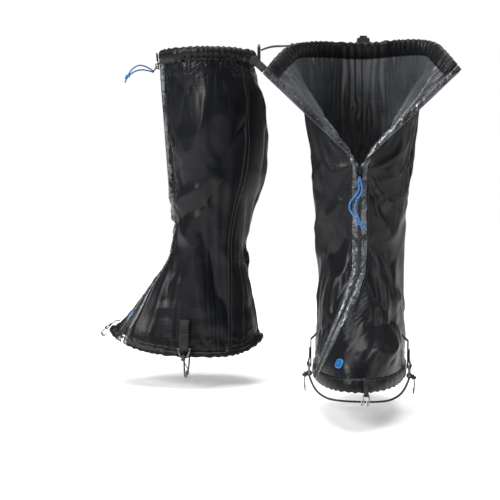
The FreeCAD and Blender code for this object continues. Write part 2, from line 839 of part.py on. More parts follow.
def closure_frame(leg):
    """The tab's root and its three ways: x along the tab, z away from the cloth."""
    outer = over_cloth(2) + size("closure_lift")
    if leg.closed:
        height = size("cuff_height") - size("closure_width") / 2
        middle = surface_frame(leg, 0, height - size("closure_drop"), outer)
        down = middle.Rotation.multVec(V(1, 0, 0))
        normal = middle.Rotation.multVec(V(0, 0, 1))
        along = mirrored(leg, V(0, -1, 0))
        root = middle.Base + along * (-size("closure_length") / 2)
        rotation = frame_rotation(along, along.cross(down).normalize())
        if rotation.multVec(V(0, 0, 1)).dot(normal) < 0:
            rotation = frame_rotation(along, normal)
        return FreeCAD.Placement(root, rotation)
    along = mirrored(leg, edge_point(leg, 1) - edge_point(leg, 0)).normalize()
    normal = mirrored(leg, flap_normal(leg))
    normal = (normal - along * normal.dot(along)).normalize()
    inside = mirrored(leg, fold_point(leg, 1) - edge_point(leg, 1))
    inside = (inside - along * inside.dot(along)).normalize()
    root = (mirrored(leg, edge_point(leg, 1)) + along * size("closure_gap") * 2
            + inside * (size("closure_width") / 2))
    return FreeCAD.Placement(root, frame_rotation(along, normal))


def closure_tab(leg):
    """A webbing tab with a rounded end that closes the collar over the zip."""
    body = new_body(leg, leg.side + "_closure_tab", closure_frame(leg))
    outline = new_sketch(body, "XY_Plane", leg.side + "_closure_outline")
    half = "Sizes.closure_width / 2"
    add_block(outline, "0", "Sizes.closure_length", "-" + half, half)
    base = add_pad(body, outline, "Sizes.closure_plate")

    def far_end(edge):
        return upright(edge) and edge.Vertexes[0].X > size("closure_length") / 2
    round_edges(body, base, "Sizes.closure_width * Sizes.end_rounding", far_end)
    return body


def closure_patch(leg):
    """The hook patch that the tab presses onto, on the lateral side of the zip."""
    wide = size("patch_length")
    depth = size("patch_width")
    inner = over_cloth(2)
    outer = inner + size("patch_plate")
    if leg.closed:
        top = size("cuff_height") - size("stop_length") / 2
        near = size("zip_slot") / 2 + size("tape_width") + size("layer_gap") * 3
        solid = zip_strip(leg, -near, -near - wide, top - depth, top, inner, outer, 4)
        return add_shape(leg, leg.side + "_closure_patch", solid)
    near = size("tape_width") + size("layer_gap") * 4
    long = (edge_point(leg, 1) - edge_point(leg, 0)).Length
    top = size("flap_patch_top")
    solid = flap_sheet(leg, -1, lambda rise: edge_share(leg, rise, near + wide),
                       lambda rise: edge_share(leg, rise, near), top - depth / long, top,
                       inner, outer, 4)
    return add_shape(leg, leg.side + "_closure_patch", solid)


# ---------------------------------------------------------------- the drawcord and its lock


def lock_frame(leg):
    """The lock's seat at the rear of the top hem: x outwards, z up."""
    height = size("cuff_height") + size("lock_above_hem") - size("lock_height")
    reach = -sleeve(leg, 180, size("cuff_height") - size("top_hem_depth") / 2, 0).x
    seat = max(reach, -sleeve(leg, 180, height, 0).x) + over_cloth(2) + size("layer_gap")
    return FreeCAD.Placement(V(-seat, 0, height), FreeCAD.Rotation(UP, 180))


def cord_lock_housing(leg):
    """A flat housing, open at the top for its button, with a hole for the cord."""
    body = new_body(leg, leg.side + "_cord_lock_housing", lock_frame(leg))
    outline = new_sketch(body, "YZ_Plane", leg.side + "_lock_outline")
    half = "Sizes.lock_width / 2"
    add_block(outline, "-" + half, half, "0", "Sizes.lock_height")
    base = add_pad(body, outline, "Sizes.lock_depth")

    def along_x(edge):
        line = edge.Curve.TypeId == "Part::GeomLine"
        return line and abs(edge.Vertexes[0].X - edge.Vertexes[-1].X) > 0.99 * edge.Length
    round_edges(body, base, "Sizes.lock_width / 6", along_x)
    mouth = new_sketch(body, "XY_Plane", leg.side + "_lock_mouth")
    mouth.setExpression("AttachmentOffset.Base.z", "Sizes.lock_height")
    play = "Sizes.button_play"
    middle = "Sizes.lock_depth / 2"
    deep = "(Sizes.button_depth / 2 + " + play + ")"
    wide = "(Sizes.button_width / 2 + " + play + ")"
    add_block(mouth, middle + " - " + deep, middle + " + " + deep, "-" + wide, wide)
    add_pocket(body, mouth, "Sizes.lock_pocket")
    hole = new_sketch(body, "YZ_Plane", leg.side + "_lock_hole")
    add_circle(hole, "0", "Sizes.lock_height - Sizes.lock_hole_drop", "Sizes.lock_hole_radius")
    add_pocket(body, hole, "Sizes.lock_depth * 3", symmetric=True)
    return body


def cord_lock_button(leg):
    """The button, which stands out of the housing's mouth."""
    rise = size("lock_height") + size("button_proud") - size("button_height")
    seat = FreeCAD.Placement(V(size("lock_depth") / 2, 0, rise), FreeCAD.Rotation())
    body = new_body(leg, leg.side + "_cord_lock_button", lock_frame(leg).multiply(seat))
    outline = new_sketch(body, "XY_Plane", leg.side + "_button_outline")
    add_block(outline, "-Sizes.button_depth / 2", "Sizes.button_depth / 2",
              "-Sizes.button_width / 2", "Sizes.button_width / 2")
    add_pad(body, outline, "Sizes.button_height")
    return body


def cord_lock_spring(leg):
    """The coil spring under the button, as a plain sleeve of its size."""
    floor = size("lock_height") - size("lock_pocket")
    gap = size("button_play") / 2
    seat = FreeCAD.Placement(V(size("lock_depth") / 2, 0, floor + gap), FreeCAD.Rotation())
    name = leg.side + "_cord_lock_spring"
    tall = ("Sizes.lock_pocket + Sizes.button_proud - Sizes.button_height"
            " - Sizes.button_play")
    bars = []
    for role, radius in (("coil", "Sizes.spring_radius"),
                         ("core", "Sizes.spring_radius - Sizes.spring_wire")):
        bar = doc.addObject("Part::Cylinder", name + "_" + role)
        bar.setExpression("Radius", radius)
        bar.setExpression("Height", tall)
        bars.append(bar)
    spring = doc.addObject("Part::Cut", name)
    spring.Label = name
    spring.Base, spring.Tool = bars
    spring.Placement = leg.placement.multiply(lock_frame(leg)).multiply(seat)
    return spring


# The drawcord's route from the lock's face, as steps outwards and up from its start.
DRAWCORD_ROUTE = ((0, 0), (6, 2.4), (13, 4.4), (21, 5.4), (29, 5.2), (37, 5.8))
DRAWCORD_GAP = (1.5, 2.2, 3.0, 3.0, 2.2, 1.6)


def drawcord_start(leg):
    face = lock_frame(leg).multVec(V(size("lock_depth") + size("drawcord_clear"), 0, 0))
    return V(face.x, 0, size("cuff_height") + size("drawcord_above_hem"))


def drawcord(leg):
    """The doubled end of the drawcord, standing out behind the calf."""
    name = leg.side + "_drawcord"
    strands = []
    for hand in (1, -1):
        points = []
        for (out, rise), gap in zip(DRAWCORD_ROUTE, DRAWCORD_GAP):
            points.append(drawcord_start(leg) + V(-out, hand * gap, rise))
        strands.append(cord(name, points, size("drawcord_radius")))
    return add_shape(leg, name, joined(strands))


def drawcord_knot(leg):
    """The knot at the drawcord's end."""
    out, rise = DRAWCORD_ROUTE[-1]
    length = size("drawcord_knot_length")
    along = V(-1, 0, 0.08).normalize()
    middle = drawcord_start(leg) + V(-out, 0, rise) + along * length
    return add_shape(leg, leg.side + "_drawcord_knot",
                     knot(middle, size("drawcord_knot_radius"), length, along))


# ---------------------------------------------------------------- straps, rings and hook


def web_frame(leg, angle, height):
    """A seat for webbing on the lower hem; its eye hangs below and its plate is upright."""
    seat = surface_frame(leg, angle, height, over_cloth(2) + size("layer_gap") * 2)
    lower = surface_frame(leg, angle, height - size("web_length"), over_cloth(2))
    normal = seat.Rotation.multVec(V(0, 0, 1))
    flat = V(normal.x, normal.y, 0).normalize()
    clear = max(0.0, (lower.Base - seat.Base).dot(flat)) + size("web_clear")
    return FreeCAD.Placement(seat.Base + flat * clear, frame_rotation(V(0, 0, -1), flat))


def web_tab(body, name, length, width, hole):
    """A strip of webbing that ends in a sewn eye; x down the strip, z away from the cloth."""
    strip = new_sketch(body, "XZ_Plane", name + "_strip")
    eye = "(" + hole + " + Sizes.web_eye_wall)"
    add_block(strip, "0", length + " - " + eye, "0", "Sizes.web_plate")
    add_pad(body, strip, width, symmetric=True)
    loop = new_sketch(body, "XZ_Plane", name + "_eye")
    add_circle(loop, length, eye, eye)
    add_circle(loop, length, eye, hole)
    add_pad(body, loop, width, symmetric=True)


def strap_frame(leg, hand):
    """The instep strap's tab on one side of the foot."""
    return web_frame(leg, hand * size("strap_angle"), size("strap_height"))


def ring_hole():
    return "(Sizes.ring_wire / 2 + Sizes.ring_play)"


def eye_lift(hole_radius):
    return hole_radius + size("web_eye_wall")


def instep_tab(leg, hand, name):
    body = new_body(leg, name, strap_frame(leg, hand))
    web_tab(body, name, "Sizes.web_length", "Sizes.web_width", ring_hole())
    return body


def ring_frame(leg, hand):
    """The ring hangs in the tab's eye: x down, y along the eye and z away from the foot."""
    lift = eye_lift(size("ring_wire") / 2 + size("ring_play"))
    seat = FreeCAD.Placement(V(size("web_length"), 0, lift), FreeCAD.Rotation())
    return strap_frame(leg, hand).multiply(seat)


def instep_ring(leg, hand, name):
    """A trapezoid ring of round wire; its wide bar lies in the tab's eye."""
    body = new_body(leg, name, ring_frame(leg, hand))
    outline = new_sketch(body, "XY_Plane", name + "_outline")
    wire = "Sizes.ring_wire"
    top = "-" + wire + " / 2"
    low = "(Sizes.ring_height - " + wire + " / 2)"
    wide = "(Sizes.ring_top / 2 + " + wire + ")"
    narrow = "(Sizes.ring_bottom / 2 + " + wire + " / 2)"
    add_outline(outline, ((top, "-" + wide), (low, "-" + narrow), (low, narrow), (top, wide)))
    inner_top = wire + " / 2"
    inner_low = "(" + low + " - " + wire + ")"
    inner_wide = "(Sizes.ring_top / 2)"
    inner_narrow = "(" + narrow + " - " + wire + ")"
    add_outline(outline, ((inner_top, "-" + inner_wide), (inner_low, "-" + inner_narrow),
                          (inner_low, inner_narrow), (inner_top, inner_wide)))
    base = add_pad(body, outline, wire, symmetric=True)
    rounding = "min(Sizes.ring_round; " + wire + " * Sizes.wire_rounding)"
    round_edges(body, base, rounding, lambda edge: not upright(edge))
    return body


# The instep cord under the foot, as steps towards the foot's middle and down from the ring.
INSTEP_ROUTE = ((0, 0), (4, 13), (14, 24.5), (31, 30.5))


def ring_bottom(leg, hand):
    """The middle of the ring's narrow bar, in the leg frame."""
    reach = size("ring_height") - size("ring_wire")
    return ring_frame(leg, hand).multVec(V(reach, 0, 0))


def instep_points(leg):
    """From the medial ring, under the foot, to the lateral ring."""
    rows = []
    for hand in (1, -1):
        start = ring_bottom(leg, hand) + V(0, 0, -size("ring_wire") / 2 - size("knot_gap"))
        inwards = -math.copysign(1.0, start.y)
        rows.append([start + V(0, inwards * step, -drop) for step, drop in INSTEP_ROUTE])
    return rows[0] + rows[1][::-1]


def instep_cord(leg):
    """The cord under the foot between the two rings."""
    name = leg.side + "_instep_cord"
    loop = cord(name, instep_points(leg), size("instep_cord_radius"))
    return add_shape(leg, name, loop)


def instep_knots(leg):
    """The knots that tie the instep cord to its rings, outside the rings."""
    radius = size("instep_knot_radius")
    eggs = []
    for hand in (1, -1):
        outwards = ring_frame(leg, hand).Rotation.multVec(V(0, 0, 1))
        gap = size("ring_wire") / 2 + radius + size("knot_gap")
        eggs.append(knot(ring_bottom(leg, hand) + outwards * gap, radius, radius * 1.2, UP))
    return add_shape(leg, leg.side + "_instep_knots", joined(eggs))


def hook_seat(leg):
    """The lace hook's webbing at the front of the lower hem."""
    angle = size(leg.side + "_hook_angle")
    height = hem_height(leg, angle) + size("hook_above_hem")
    return surface_frame(leg, angle, height, over_cloth(2) + size("layer_gap") * 2)


def lace_hook_tab(leg):
    """The small webbing loop that holds the lace hook."""
    name = leg.side + "_lace_hook_tab"
    body = new_body(leg, name, hook_seat(leg))
    hole = "(Sizes.hook_wire / 2 + Sizes.ring_play)"
    web_tab(body, name, "Sizes.hook_web_length", "Sizes.hook_web_width", hole)
    return body


def hook_frame(leg):
    lift = eye_lift(size("hook_wire") / 2 + size("ring_play"))
    seat = FreeCAD.Placement(V(size("hook_web_length"), 0, lift), FreeCAD.Rotation())
    return hook_seat(leg).multiply(seat)


def lace_hook(leg):
    """A wire hook: a bar in the webbing's eye and two prongs that curl under the hem."""
    half = size("hook_width") / 2
    drop = size("hook_drop")
    back = size("hook_return")
    lip = size("hook_lip")
    flare = size("hook_flare")
    prong = ((drop - lip, -back), (drop + flare, -back + flare), (drop, flare), (0.0, 0.0))
    points = [V(down, -half, out) for down, out in prong]
    points += [V(down, half, out) for down, out in reversed(prong)]
    bend = size("hook_bend")
    path = rounded_path(points, lambda i, half_turn: bend)
    shape = round_bar(path, size("hook_wire") / 2)
    shape.Placement = hook_frame(leg)
    feature = add_shape(leg, leg.side + "_lace_hook", shape)
    feature.Placement = leg.placement.multiply(hook_frame(leg))
    return feature


def emblem(leg):
    """A small plain badge on the front, above the hem."""
    width = size("emblem_width")
    angle = size(leg.side + "_emblem_angle")
    low = hem_height(leg, angle) + size("emblem_above_hem")
    inner = over_cloth()

    def point(across, up, out):
        height = low + size("emblem_height") * up
        turn = angle + angle_step(leg, angle, height, width * (across - 0.5))
        return mirrored(leg, sleeve(leg, turn, height, out))
    solid = sheet_solid(point, inner, inner + size("emblem_plate"), 4, 4)
    return add_shape(leg, leg.side + "_emblem", solid)


# ---------------------------------------------------------------- the pair


def build_gaiter(leg):
    """Every sub-part of one gaiter."""
    side = leg.side
    parts = [medial_panel(leg), lateral_panel(leg), rear_panel(leg), top_hem(leg), bottom_hem(leg)]
    parts += [zip_tapes(leg), zip_chain(leg), zip_slider(leg), zip_puller(leg)]
    parts += [pull_cord(leg), pull_knot(leg), closure_tab(leg), closure_patch(leg)]
    parts += [cord_lock_housing(leg), cord_lock_button(leg), cord_lock_spring(leg)]
    parts += [drawcord(leg), drawcord_knot(leg), lace_hook_tab(leg), lace_hook(leg)]
    for hand, place in ((1, "medial"), (-1, "lateral")):
        parts.append(instep_tab(leg, hand, "%s_%s_instep_tab" % (side, place)))
        parts.append(instep_ring(leg, hand, "%s_%s_ring" % (side, place)))
        if not leg.closed:
            parts.append(flap_panel(leg, hand, "%s_%s_flap" % (side, place)))
            parts.append(flap_hem(leg, hand, "%s_%s_flap_hem" % (side, place)))
            parts.append(flap_zip(leg, hand, "%s_%s_flap_zip" % (side, place)))
    parts += [instep_cord(leg), instep_knots(leg), emblem(leg)]
    return parts


def check_document(parts):
    """Stops if an object failed or a sub-part has no valid shape."""
    for item in doc.Objects:
        if "Invalid" in item.State or "Error" in item.State:
            raise ValueError("%s failed: %s" % (item.Name, item.State))
    for piece in parts:
        if piece.Shape.isNull() or not piece.Shape.isValid() or piece.Shape.Volume <= 0:
            raise ValueError("%s has no valid shape" % piece.Label)


def write_parts(parts):
    os.makedirs("parts", exist_ok=True)
    for piece in parts:
        piece.Shape.exportStep(os.path.join("parts", piece.Label + ".step"))


fill_sheet()
pieces = build_gaiter(Leg("right")) + build_gaiter(Leg("left"))
doc.recompute()
check_document(pieces)
write_parts(pieces)
print("%d sub-parts" % len(pieces))
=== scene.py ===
"""The looks of a pair of hiking gaiters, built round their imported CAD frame.

The sleeves are grids of cloth over the same surface that the frame's shells have. Each one is
simulated as loose cloth round a hidden leg, and everything sewn to it, such as the zip, the hems
and the stitching, is then laid on the result.
"""
import math

import bpy
import numpy as np
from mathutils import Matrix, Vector


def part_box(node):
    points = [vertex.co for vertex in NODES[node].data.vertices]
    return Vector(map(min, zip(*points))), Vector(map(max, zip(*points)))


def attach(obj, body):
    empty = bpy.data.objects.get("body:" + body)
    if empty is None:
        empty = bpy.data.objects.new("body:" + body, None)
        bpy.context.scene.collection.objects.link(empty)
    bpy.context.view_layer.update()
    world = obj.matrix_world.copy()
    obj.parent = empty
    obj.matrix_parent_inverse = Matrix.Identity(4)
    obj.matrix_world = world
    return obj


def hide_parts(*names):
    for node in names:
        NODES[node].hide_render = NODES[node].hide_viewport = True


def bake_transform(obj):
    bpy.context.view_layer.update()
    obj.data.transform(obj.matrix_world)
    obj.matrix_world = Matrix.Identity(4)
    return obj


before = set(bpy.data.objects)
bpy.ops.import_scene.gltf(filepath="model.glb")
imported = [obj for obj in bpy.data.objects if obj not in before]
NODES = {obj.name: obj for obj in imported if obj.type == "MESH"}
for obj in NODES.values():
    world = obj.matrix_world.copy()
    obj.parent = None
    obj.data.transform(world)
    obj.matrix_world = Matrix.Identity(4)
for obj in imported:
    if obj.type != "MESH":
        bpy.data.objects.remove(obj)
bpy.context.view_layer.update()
MM = 0.001

# ---------------------------------------------------------------- the surface, in millimetres

# Height of each section, and its reach to the front, to the back and to a side.
SECTIONS = np.array((
    (40, 146, 72, 54), (70, 135, 70, 52), (100, 108, 67, 50), (133, 84, 63, 48),
    (165, 62, 56, 46), (200, 53, 56, 47), (240, 51, 66, 50), (262, 0, 76, 54),
    (283, 0, 83, 59), (327, 0, 87, 63), (368, 0, 83, 62), (410, 0, 68, 58), (440, 0, 57, 54)),
    float)
TOP = 440.0
TOP_REACH = 64.0
APEX = 285.0
HEM_SIDE = 43.0
HEM_HEEL = 60.0
SEAM_FOOT, SEAM_TOP = 113.0, 138.0
ZIP_EASE = 1.15
FOLD_ANGLE = 52.0
STILL_ANGLE = 150.0
FOLD_END = np.array((20.0, 88.0, 425.0))
CORNER = np.array((50.0, 112.0, 392.0))
FLAP_BULGE = 7.0


class Leg:
    """One gaiter's measures and its place in the frame."""

    def __init__(self, side, place, heading, low, low_reach, hem_front, bend, foot_angle):
        self.side = side
        self.closed = side == "right"
        self.hand = 1.0 if self.closed else -1.0
        self.place = np.array(place, float)
        turn = math.radians(heading)
        self.turn = np.array(((math.cos(turn), -math.sin(turn)), (math.sin(turn), math.cos(turn))))
        self.hem_front = hem_front
        self.bend = bend
        self.foot_angle = foot_angle
        rows = SECTIONS.copy()
        lean = (TOP_REACH - low_reach) / (TOP - low)
        line = rows[:, 0] >= low
        rows[line, 1] = low_reach + (rows[line, 0] - low) * lean
        self.heights = rows[:, 0]
        self.values = rows[:, 1:]
        ahead = np.minimum(np.arange(len(rows)) + 1, len(rows) - 1)
        behind = np.maximum(np.arange(len(rows)) - 1, 0)
        run = (self.heights[ahead] - self.heights[behind])[:, None]
        self.slopes = (self.values[ahead] - self.values[behind]) / run

    def reach(self, height):
        """Front, back and side reach at each height."""
        span = np.clip(np.searchsorted(self.heights, height) - 1, 0, len(self.heights) - 2)
        low, high = self.heights[span], self.heights[span + 1]
        step = (high - low)[..., None]
        part = ((height - low) / (high - low))[..., None]
        square, cube = part ** 2, part ** 3
        return (self.values[span] * (2 * cube - 3 * square + 1)
                + self.slopes[span] * step * (cube - 2 * square + part)
                + self.values[span + 1] * (3 * square - 2 * cube)
                + self.slopes[span + 1] * step * (cube - square))

    def to_world(self, points):
        """From leg coordinates in millimetres, medial positive, to the frame in metres."""
        out = np.array(points, float)
        flat = np.stack((out[..., 0], out[..., 1] * self.hand), -1) @ self.turn.T
        out[..., :2] = flat + self.place
        return out * MM


RIGHT = Leg("right", (0, 0), 180, 262, 51.5, 71.0, 178.0, 36.0)
LEFT = Leg("left", (186, -140), -98, 200, 53.0, 46.0, 168.0, 62.0)


def sleeve(leg, angle, height, out=0.0):
    """Points of the closed sleeve, in leg coordinates."""
    turn = np.radians(angle)
    reach = leg.reach(height)
    forward = np.cos(turn)
    ahead = np.where(forward > 0, reach[..., 0], reach[..., 1])
    return np.stack(((ahead + out) * forward, (reach[..., 2] + out) * np.sin(turn), height), -1)


def hem_height(leg, angle):
    forward = np.cos(np.radians(angle))
    end = np.where(forward > 0, leg.hem_front, HEM_HEEL)
    return HEM_SIDE + (end - HEM_SIDE) * np.abs(forward) ** 3


def zip_angle(leg, height):
    foot = hem_height(leg, leg.foot_angle)
    drop = np.clip((leg.bend - height) / (leg.bend - foot), 0, 1)
    return leg.foot_angle * drop ** ZIP_EASE


def apex_point(leg):
    return sleeve(leg, np.array(0.0), np.array(APEX))


def on_line(start, end, rise):
    return start + (end - start) * np.asarray(rise)[..., None]


def cloth_surface(leg, angle, height, out=0.0):
    """Points of the worn sleeve, with the left collar spread open; angle is from -180 to 180."""
    closed = sleeve(leg, angle, height, out)
    if leg.closed:
        return closed
    rise = np.clip((height - APEX) / (TOP - APEX), 0, None)
    turn = np.abs(angle)
    fold = FOLD_ANGLE * rise
    apex = apex_point(leg)
    bend = on_line(apex, FOLD_END, rise)
    shift = bend - sleeve(leg, fold, height)
    fade = np.clip((STILL_ANGLE - turn) / (STILL_ANGLE - fold), 0, 1) ** 2
    wall = sleeve(leg, turn, height, out) + shift * fade[..., None]
    across = 1 - turn / np.maximum(fold, 1e-6)
    across = np.clip(across, 0, 1)
    normal = np.cross(CORNER - apex, FOLD_END - apex)
    normal = normal / np.linalg.norm(normal) * (1 if normal[0] > 0 else -1)
    bulge = FLAP_BULGE * np.sin(np.pi * across) * rise - out
    lapel = bend + (on_line(apex, CORNER, rise) - bend) * across[..., None]
    lapel = lapel + normal * bulge[..., None]
    open_part = ((turn < fold) & (rise > 0))[..., None]
    both = np.where(open_part, lapel, wall)
    both[..., 1] *= np.where(angle < 0, -1, 1)
    return np.where((rise > 0)[..., None], both, closed)


# ---------------------------------------------------------------- the cloth grid

MEDIAL_COLUMNS, REAR_COLUMNS = 38, 30
COLUMNS = 2 * MEDIAL_COLUMNS + REAR_COLUMNS
ROWS = 112
SLOT = 1.0


def grid_angles(leg):
    """Angles and heights of the cloth's grid: medial panel, rear panel, lateral panel."""
    column = np.arange(COLUMNS + 1)[:, None] * np.ones((1, ROWS + 1))
    part = np.ones((COLUMNS + 1, 1)) * (np.arange(ROWS + 1) / ROWS)[None, :]
    angle = column / COLUMNS * 360.0
    for _ in range(5):
        low = hem_height(leg, angle)
        height = low + (TOP - low) * part
        seam = SEAM_FOOT + (SEAM_TOP - SEAM_FOOT) * part
        middle = zip_angle(leg, height)
        slot = np.degrees(SLOT / leg.reach(height)[..., 2])
        first, last = middle + slot, 360 + middle - slot
        medial = first + (seam - first) * column / MEDIAL_COLUMNS
        rear = seam + (360 - 2 * seam) * (column - MEDIAL_COLUMNS) / REAR_COLUMNS
        left = column - MEDIAL_COLUMNS - REAR_COLUMNS
        lateral = 360 - seam + (last - 360 + seam) * left / MEDIAL_COLUMNS
        angle = np.where(column < MEDIAL_COLUMNS, medial,
                         np.where(left < 0, rear, lateral))
    return angle, height


def rest_lengths(leg, angle, height):
    """The cloth as worn, and its cut, which is fuller than the leg form, most at the ankle."""
    wrapped = (angle + 180) % 360 - 180
    base = cloth_surface(leg, wrapped, height)
    full = base.copy()
    full[..., :2] *= 1.035
    ankle = np.vectorize(math.erf)((height - 175) / 62) + 1
    full[..., 2] = height + 0.02 * (height - 50) + 3.6 * ankle
    return base, full


def grid_mesh(name, points):
    """A mesh of quads over a grid of points."""
    columns, rows = points.shape[:2]
    index = np.arange(columns * rows).reshape(columns, rows)
    faces = np.stack((index[:-1, :-1], index[:-1, 1:], index[1:, 1:], index[1:, :-1]), -1)
    mesh = bpy.data.meshes.new(name)
    mesh.from_pydata(points.reshape(-1, 3).tolist(), [], faces.reshape(-1, 4).tolist())
    mesh.update()
    piece = bpy.data.objects.new(name, mesh)
    bpy.context.scene.collection.objects.link(piece)
    return piece


def leg_form(leg):
    """The hidden leg and shoe that the cloth lies on; it is removed after the simulation."""
    angle = np.linspace(0, 360, 73)[:, None] * np.ones((1, 60))
    height = np.ones((73, 1)) * np.linspace(34, 452, 60)[None, :]
    inside = np.interp(height, (40, 90, 150, 200, 300, 400, 440), (3, 4, 6, 7, 9, 6, 3))
    wrapped = (angle + 180) % 360 - 180
    points = sleeve(leg, wrapped, np.clip(height, 40, 440), -inside)
    points[..., 2] = height
    form = grid_mesh(leg.side + "_leg_form", leg.to_world(points))
    form.modifiers.new("hit", "COLLISION")
    form.collision.thickness_outer = 0.0006
    form.collision.cloth_friction = 12
    form.collision.damping = 0.5
    return form


def pin_weights(leg, angle, height):
    """How firmly each grid point is held: hems and zip fast, the panels free."""
    low = hem_height(leg, angle)
    column = np.arange(COLUMNS + 1)[:, None]
    from_zip = np.minimum(column, COLUMNS - column) * 3.4
    hem = np.clip(1 - (height - low - 4) / 9, 0, 1)
    top = np.clip(1 - (TOP - height - 14) / 12, 0, 1)
    zipped = np.clip(1 - (from_zip - 5) / 6, 0, 1) * np.clip((height - 120) / 150, 0.5, 1)
    return np.clip(np.maximum(np.maximum(hem, top), zipped), 0, 1)


def simulate(leg, base, full, pins, frames=26):
    """Runs the cloth and returns its grid of points."""
    piece = grid_mesh(leg.side + "_cloth_sim", base)
    piece.shape_key_add(name="Basis")
    cut = piece.shape_key_add(name="Cut")
    cut.data.foreach_set("co", full.reshape(-1))
    cut.value = 0.0
    group = piece.vertex_groups.new(name="held")
    flat = pins.reshape(-1)
    for i, weight in enumerate(flat):
        if weight > 0.01:
            group.add([i], float(weight), "REPLACE")
    cloth = piece.modifiers.new("cloth", "CLOTH")
    settings = cloth.settings
    settings.quality = 7
    settings.mass = 0.12
    settings.air_damping = 1.5
    settings.tension_stiffness = 22
    settings.compression_stiffness = 22
    settings.shear_stiffness = 9
    settings.bending_stiffness = 0.9
    settings.tension_damping = 8
    settings.compression_damping = 8
    settings.shear_damping = 8
    settings.bending_damping = 0.6
    settings.vertex_group_mass = "held"
    settings.pin_stiffness = 1.0
    settings.rest_shape_key = cut
    collide = cloth.collision_settings
    collide.use_collision = True
    collide.distance_min = 0.0012
    collide.collision_quality = 3
    collide.use_self_collision = False
    scene = bpy.context.scene
    scene.frame_start, scene.frame_end = 1, frames
    cloth.point_cache.frame_start, cloth.point_cache.frame_end = 1, frames
    for step in range(1, frames + 1):
        scene.frame_set(step)
    graph = bpy.context.evaluated_depsgraph_get()
    result = piece.evaluated_get(graph).to_mesh()
    points = np.zeros(len(result.vertices) * 3)
    result.vertices.foreach_get("co", points)
    scene.frame_set(1)
    bpy.data.objects.remove(piece)
    return points.reshape(base.shape)


# ---------------------------------------------------------------- the surface that all is sewn to

FINE = 2
ACROSS = COLUMNS * FINE
UP_ROWS = ROWS * FINE
MEDIAL_SEAM = MEDIAL_COLUMNS * FINE
LATERAL_SEAM = (MEDIAL_COLUMNS + REAR_COLUMNS) * FINE
CLOTH = 0.0008
SPLIT_HEIGHT = 262.0


def value_noise(x, y, seed):
    """Smooth noise from -1 to 1 at points of a plane whose cells are 1 across."""
    table = np.random.RandomState(seed).uniform(-1, 1, (64, 64))
    low_x, low_y = np.floor(x).astype(int), np.floor(y).astype(int)
    fx, fy = x - low_x, y - low_y
    fx, fy = fx * fx * (3 - 2 * fx), fy * fy * (3 - 2 * fy)
    total = 0
    for dx in (0, 1):
        for dy in (0, 1):
            weight = (fx if dx else 1 - fx) * (fy if dy else 1 - fy)
            total = total + weight * table[(low_x + dx) % 64, (low_y + dy) % 64]
    return total


def refine(grid):
    """Twice as many points along both sides of a grid, through a smooth curve."""
    for _ in range(2):
        before = np.concatenate((grid[:1], grid[:-2]))
        after = np.concatenate((grid[2:], grid[-1:]))
        middle = (9 * (grid[:-1] + grid[1:]) - before - after) / 16
        out = np.empty((2 * len(grid) - 1,) + grid.shape[1:])
        out[::2], out[1::2] = grid, middle
        grid = np.swapaxes(out, 0, 1)
    return grid


def unit(vectors):
    return vectors / np.maximum(np.linalg.norm(vectors, axis=-1, keepdims=True), 1e-12)


def gather(along):
    """The pleats of a gathered edge at a distance along it, in metres, from -1 to 1."""
    drift = value_noise(along / 0.021, along * 0 + 3.5, 11)
    big = np.sin(2 * np.pi * along / 0.0096 + 6.5 * drift)
    uneven = 0.62 + 0.38 * value_noise(along / 0.017, along * 0 + 7.5, 13)
    return 0.85 * big * uneven + 0.22 * value_noise(along / 0.0046, along * 0, 12)


# Folds, listed one by one: where each starts and ends, as angle and height, then its width and its
# depth.
FOLDS = {
    "right": (
        (22, 232, 88, 268, 8, 4.2), (24, 214, 96, 246, 9, -4.0), (112, 412, 62, 306, 13, 3.8),
        (142, 372, 92, 262, 15, -4.2), (76, 404, 36, 328, 10, -3.0), (126, 318, 66, 206, 12, 3.4),
        (34, 300, 60, 252, 9, -2.6), (58, 196, 92, 86, 11, 3.6), (84, 202, 122, 74, 12, -3.8),
        (108, 206, 150, 92, 13, 3.4), (40, 180, 60, 92, 8, -2.8), (16, 392, 30, 300, 9, 2.8),
        (-30, 250, -92, 286, 9, 4.0), (-28, 226, -96, 252, 9, -4.0), (-60, 390, -28, 310, 12, 3.5),
        (-110, 380, -70, 270, 14, -4.0), (-70, 190, -120, 90, 12, 3.5),
        (176, 400, 164, 250, 15, -3.6),
        (200, 350, 176, 210, 14, 3.4), (160, 190, 190, 90, 13, -3.2), (150, 420, 168, 350, 9, 2.6),
    ),
    "left": (
        (-8, 262, -46, 206, 10, 4.2), (-14, 292, -58, 238, 10, -3.6), (-6, 214, -50, 150, 11, -4.0),
        (-40, 176, -84, 120, 11, 3.8), (-24, 140, -66, 104, 9, -3.2), (-6, 92, -62, 82, 10, 5.0),
        (-2, 112, -70, 108, 9, -3.4), (14, 262, 62, 214, 10, 3.6), (10, 226, 66, 168, 11, -3.8),
        (20, 176, 74, 118, 11, 3.2), (-64, 330, -100, 240, 14, -4.2), (-92, 300, -56, 214, 12, 3.2),
        (70, 330, 104, 236, 14, -4.0), (60, 268, 92, 190, 12, 3.2), (176, 400, 164, 250, 15, -3.6),
        (205, 350, 180, 210, 14, 3.4), (160, 190, 190, 90, 13, -3.2), (-120, 200, -96, 92, 12, 3.2),
        (120, 214, 98, 96, 12, 3.2), (40, 116, 78, 84, 8, -2.4),
    ),
}


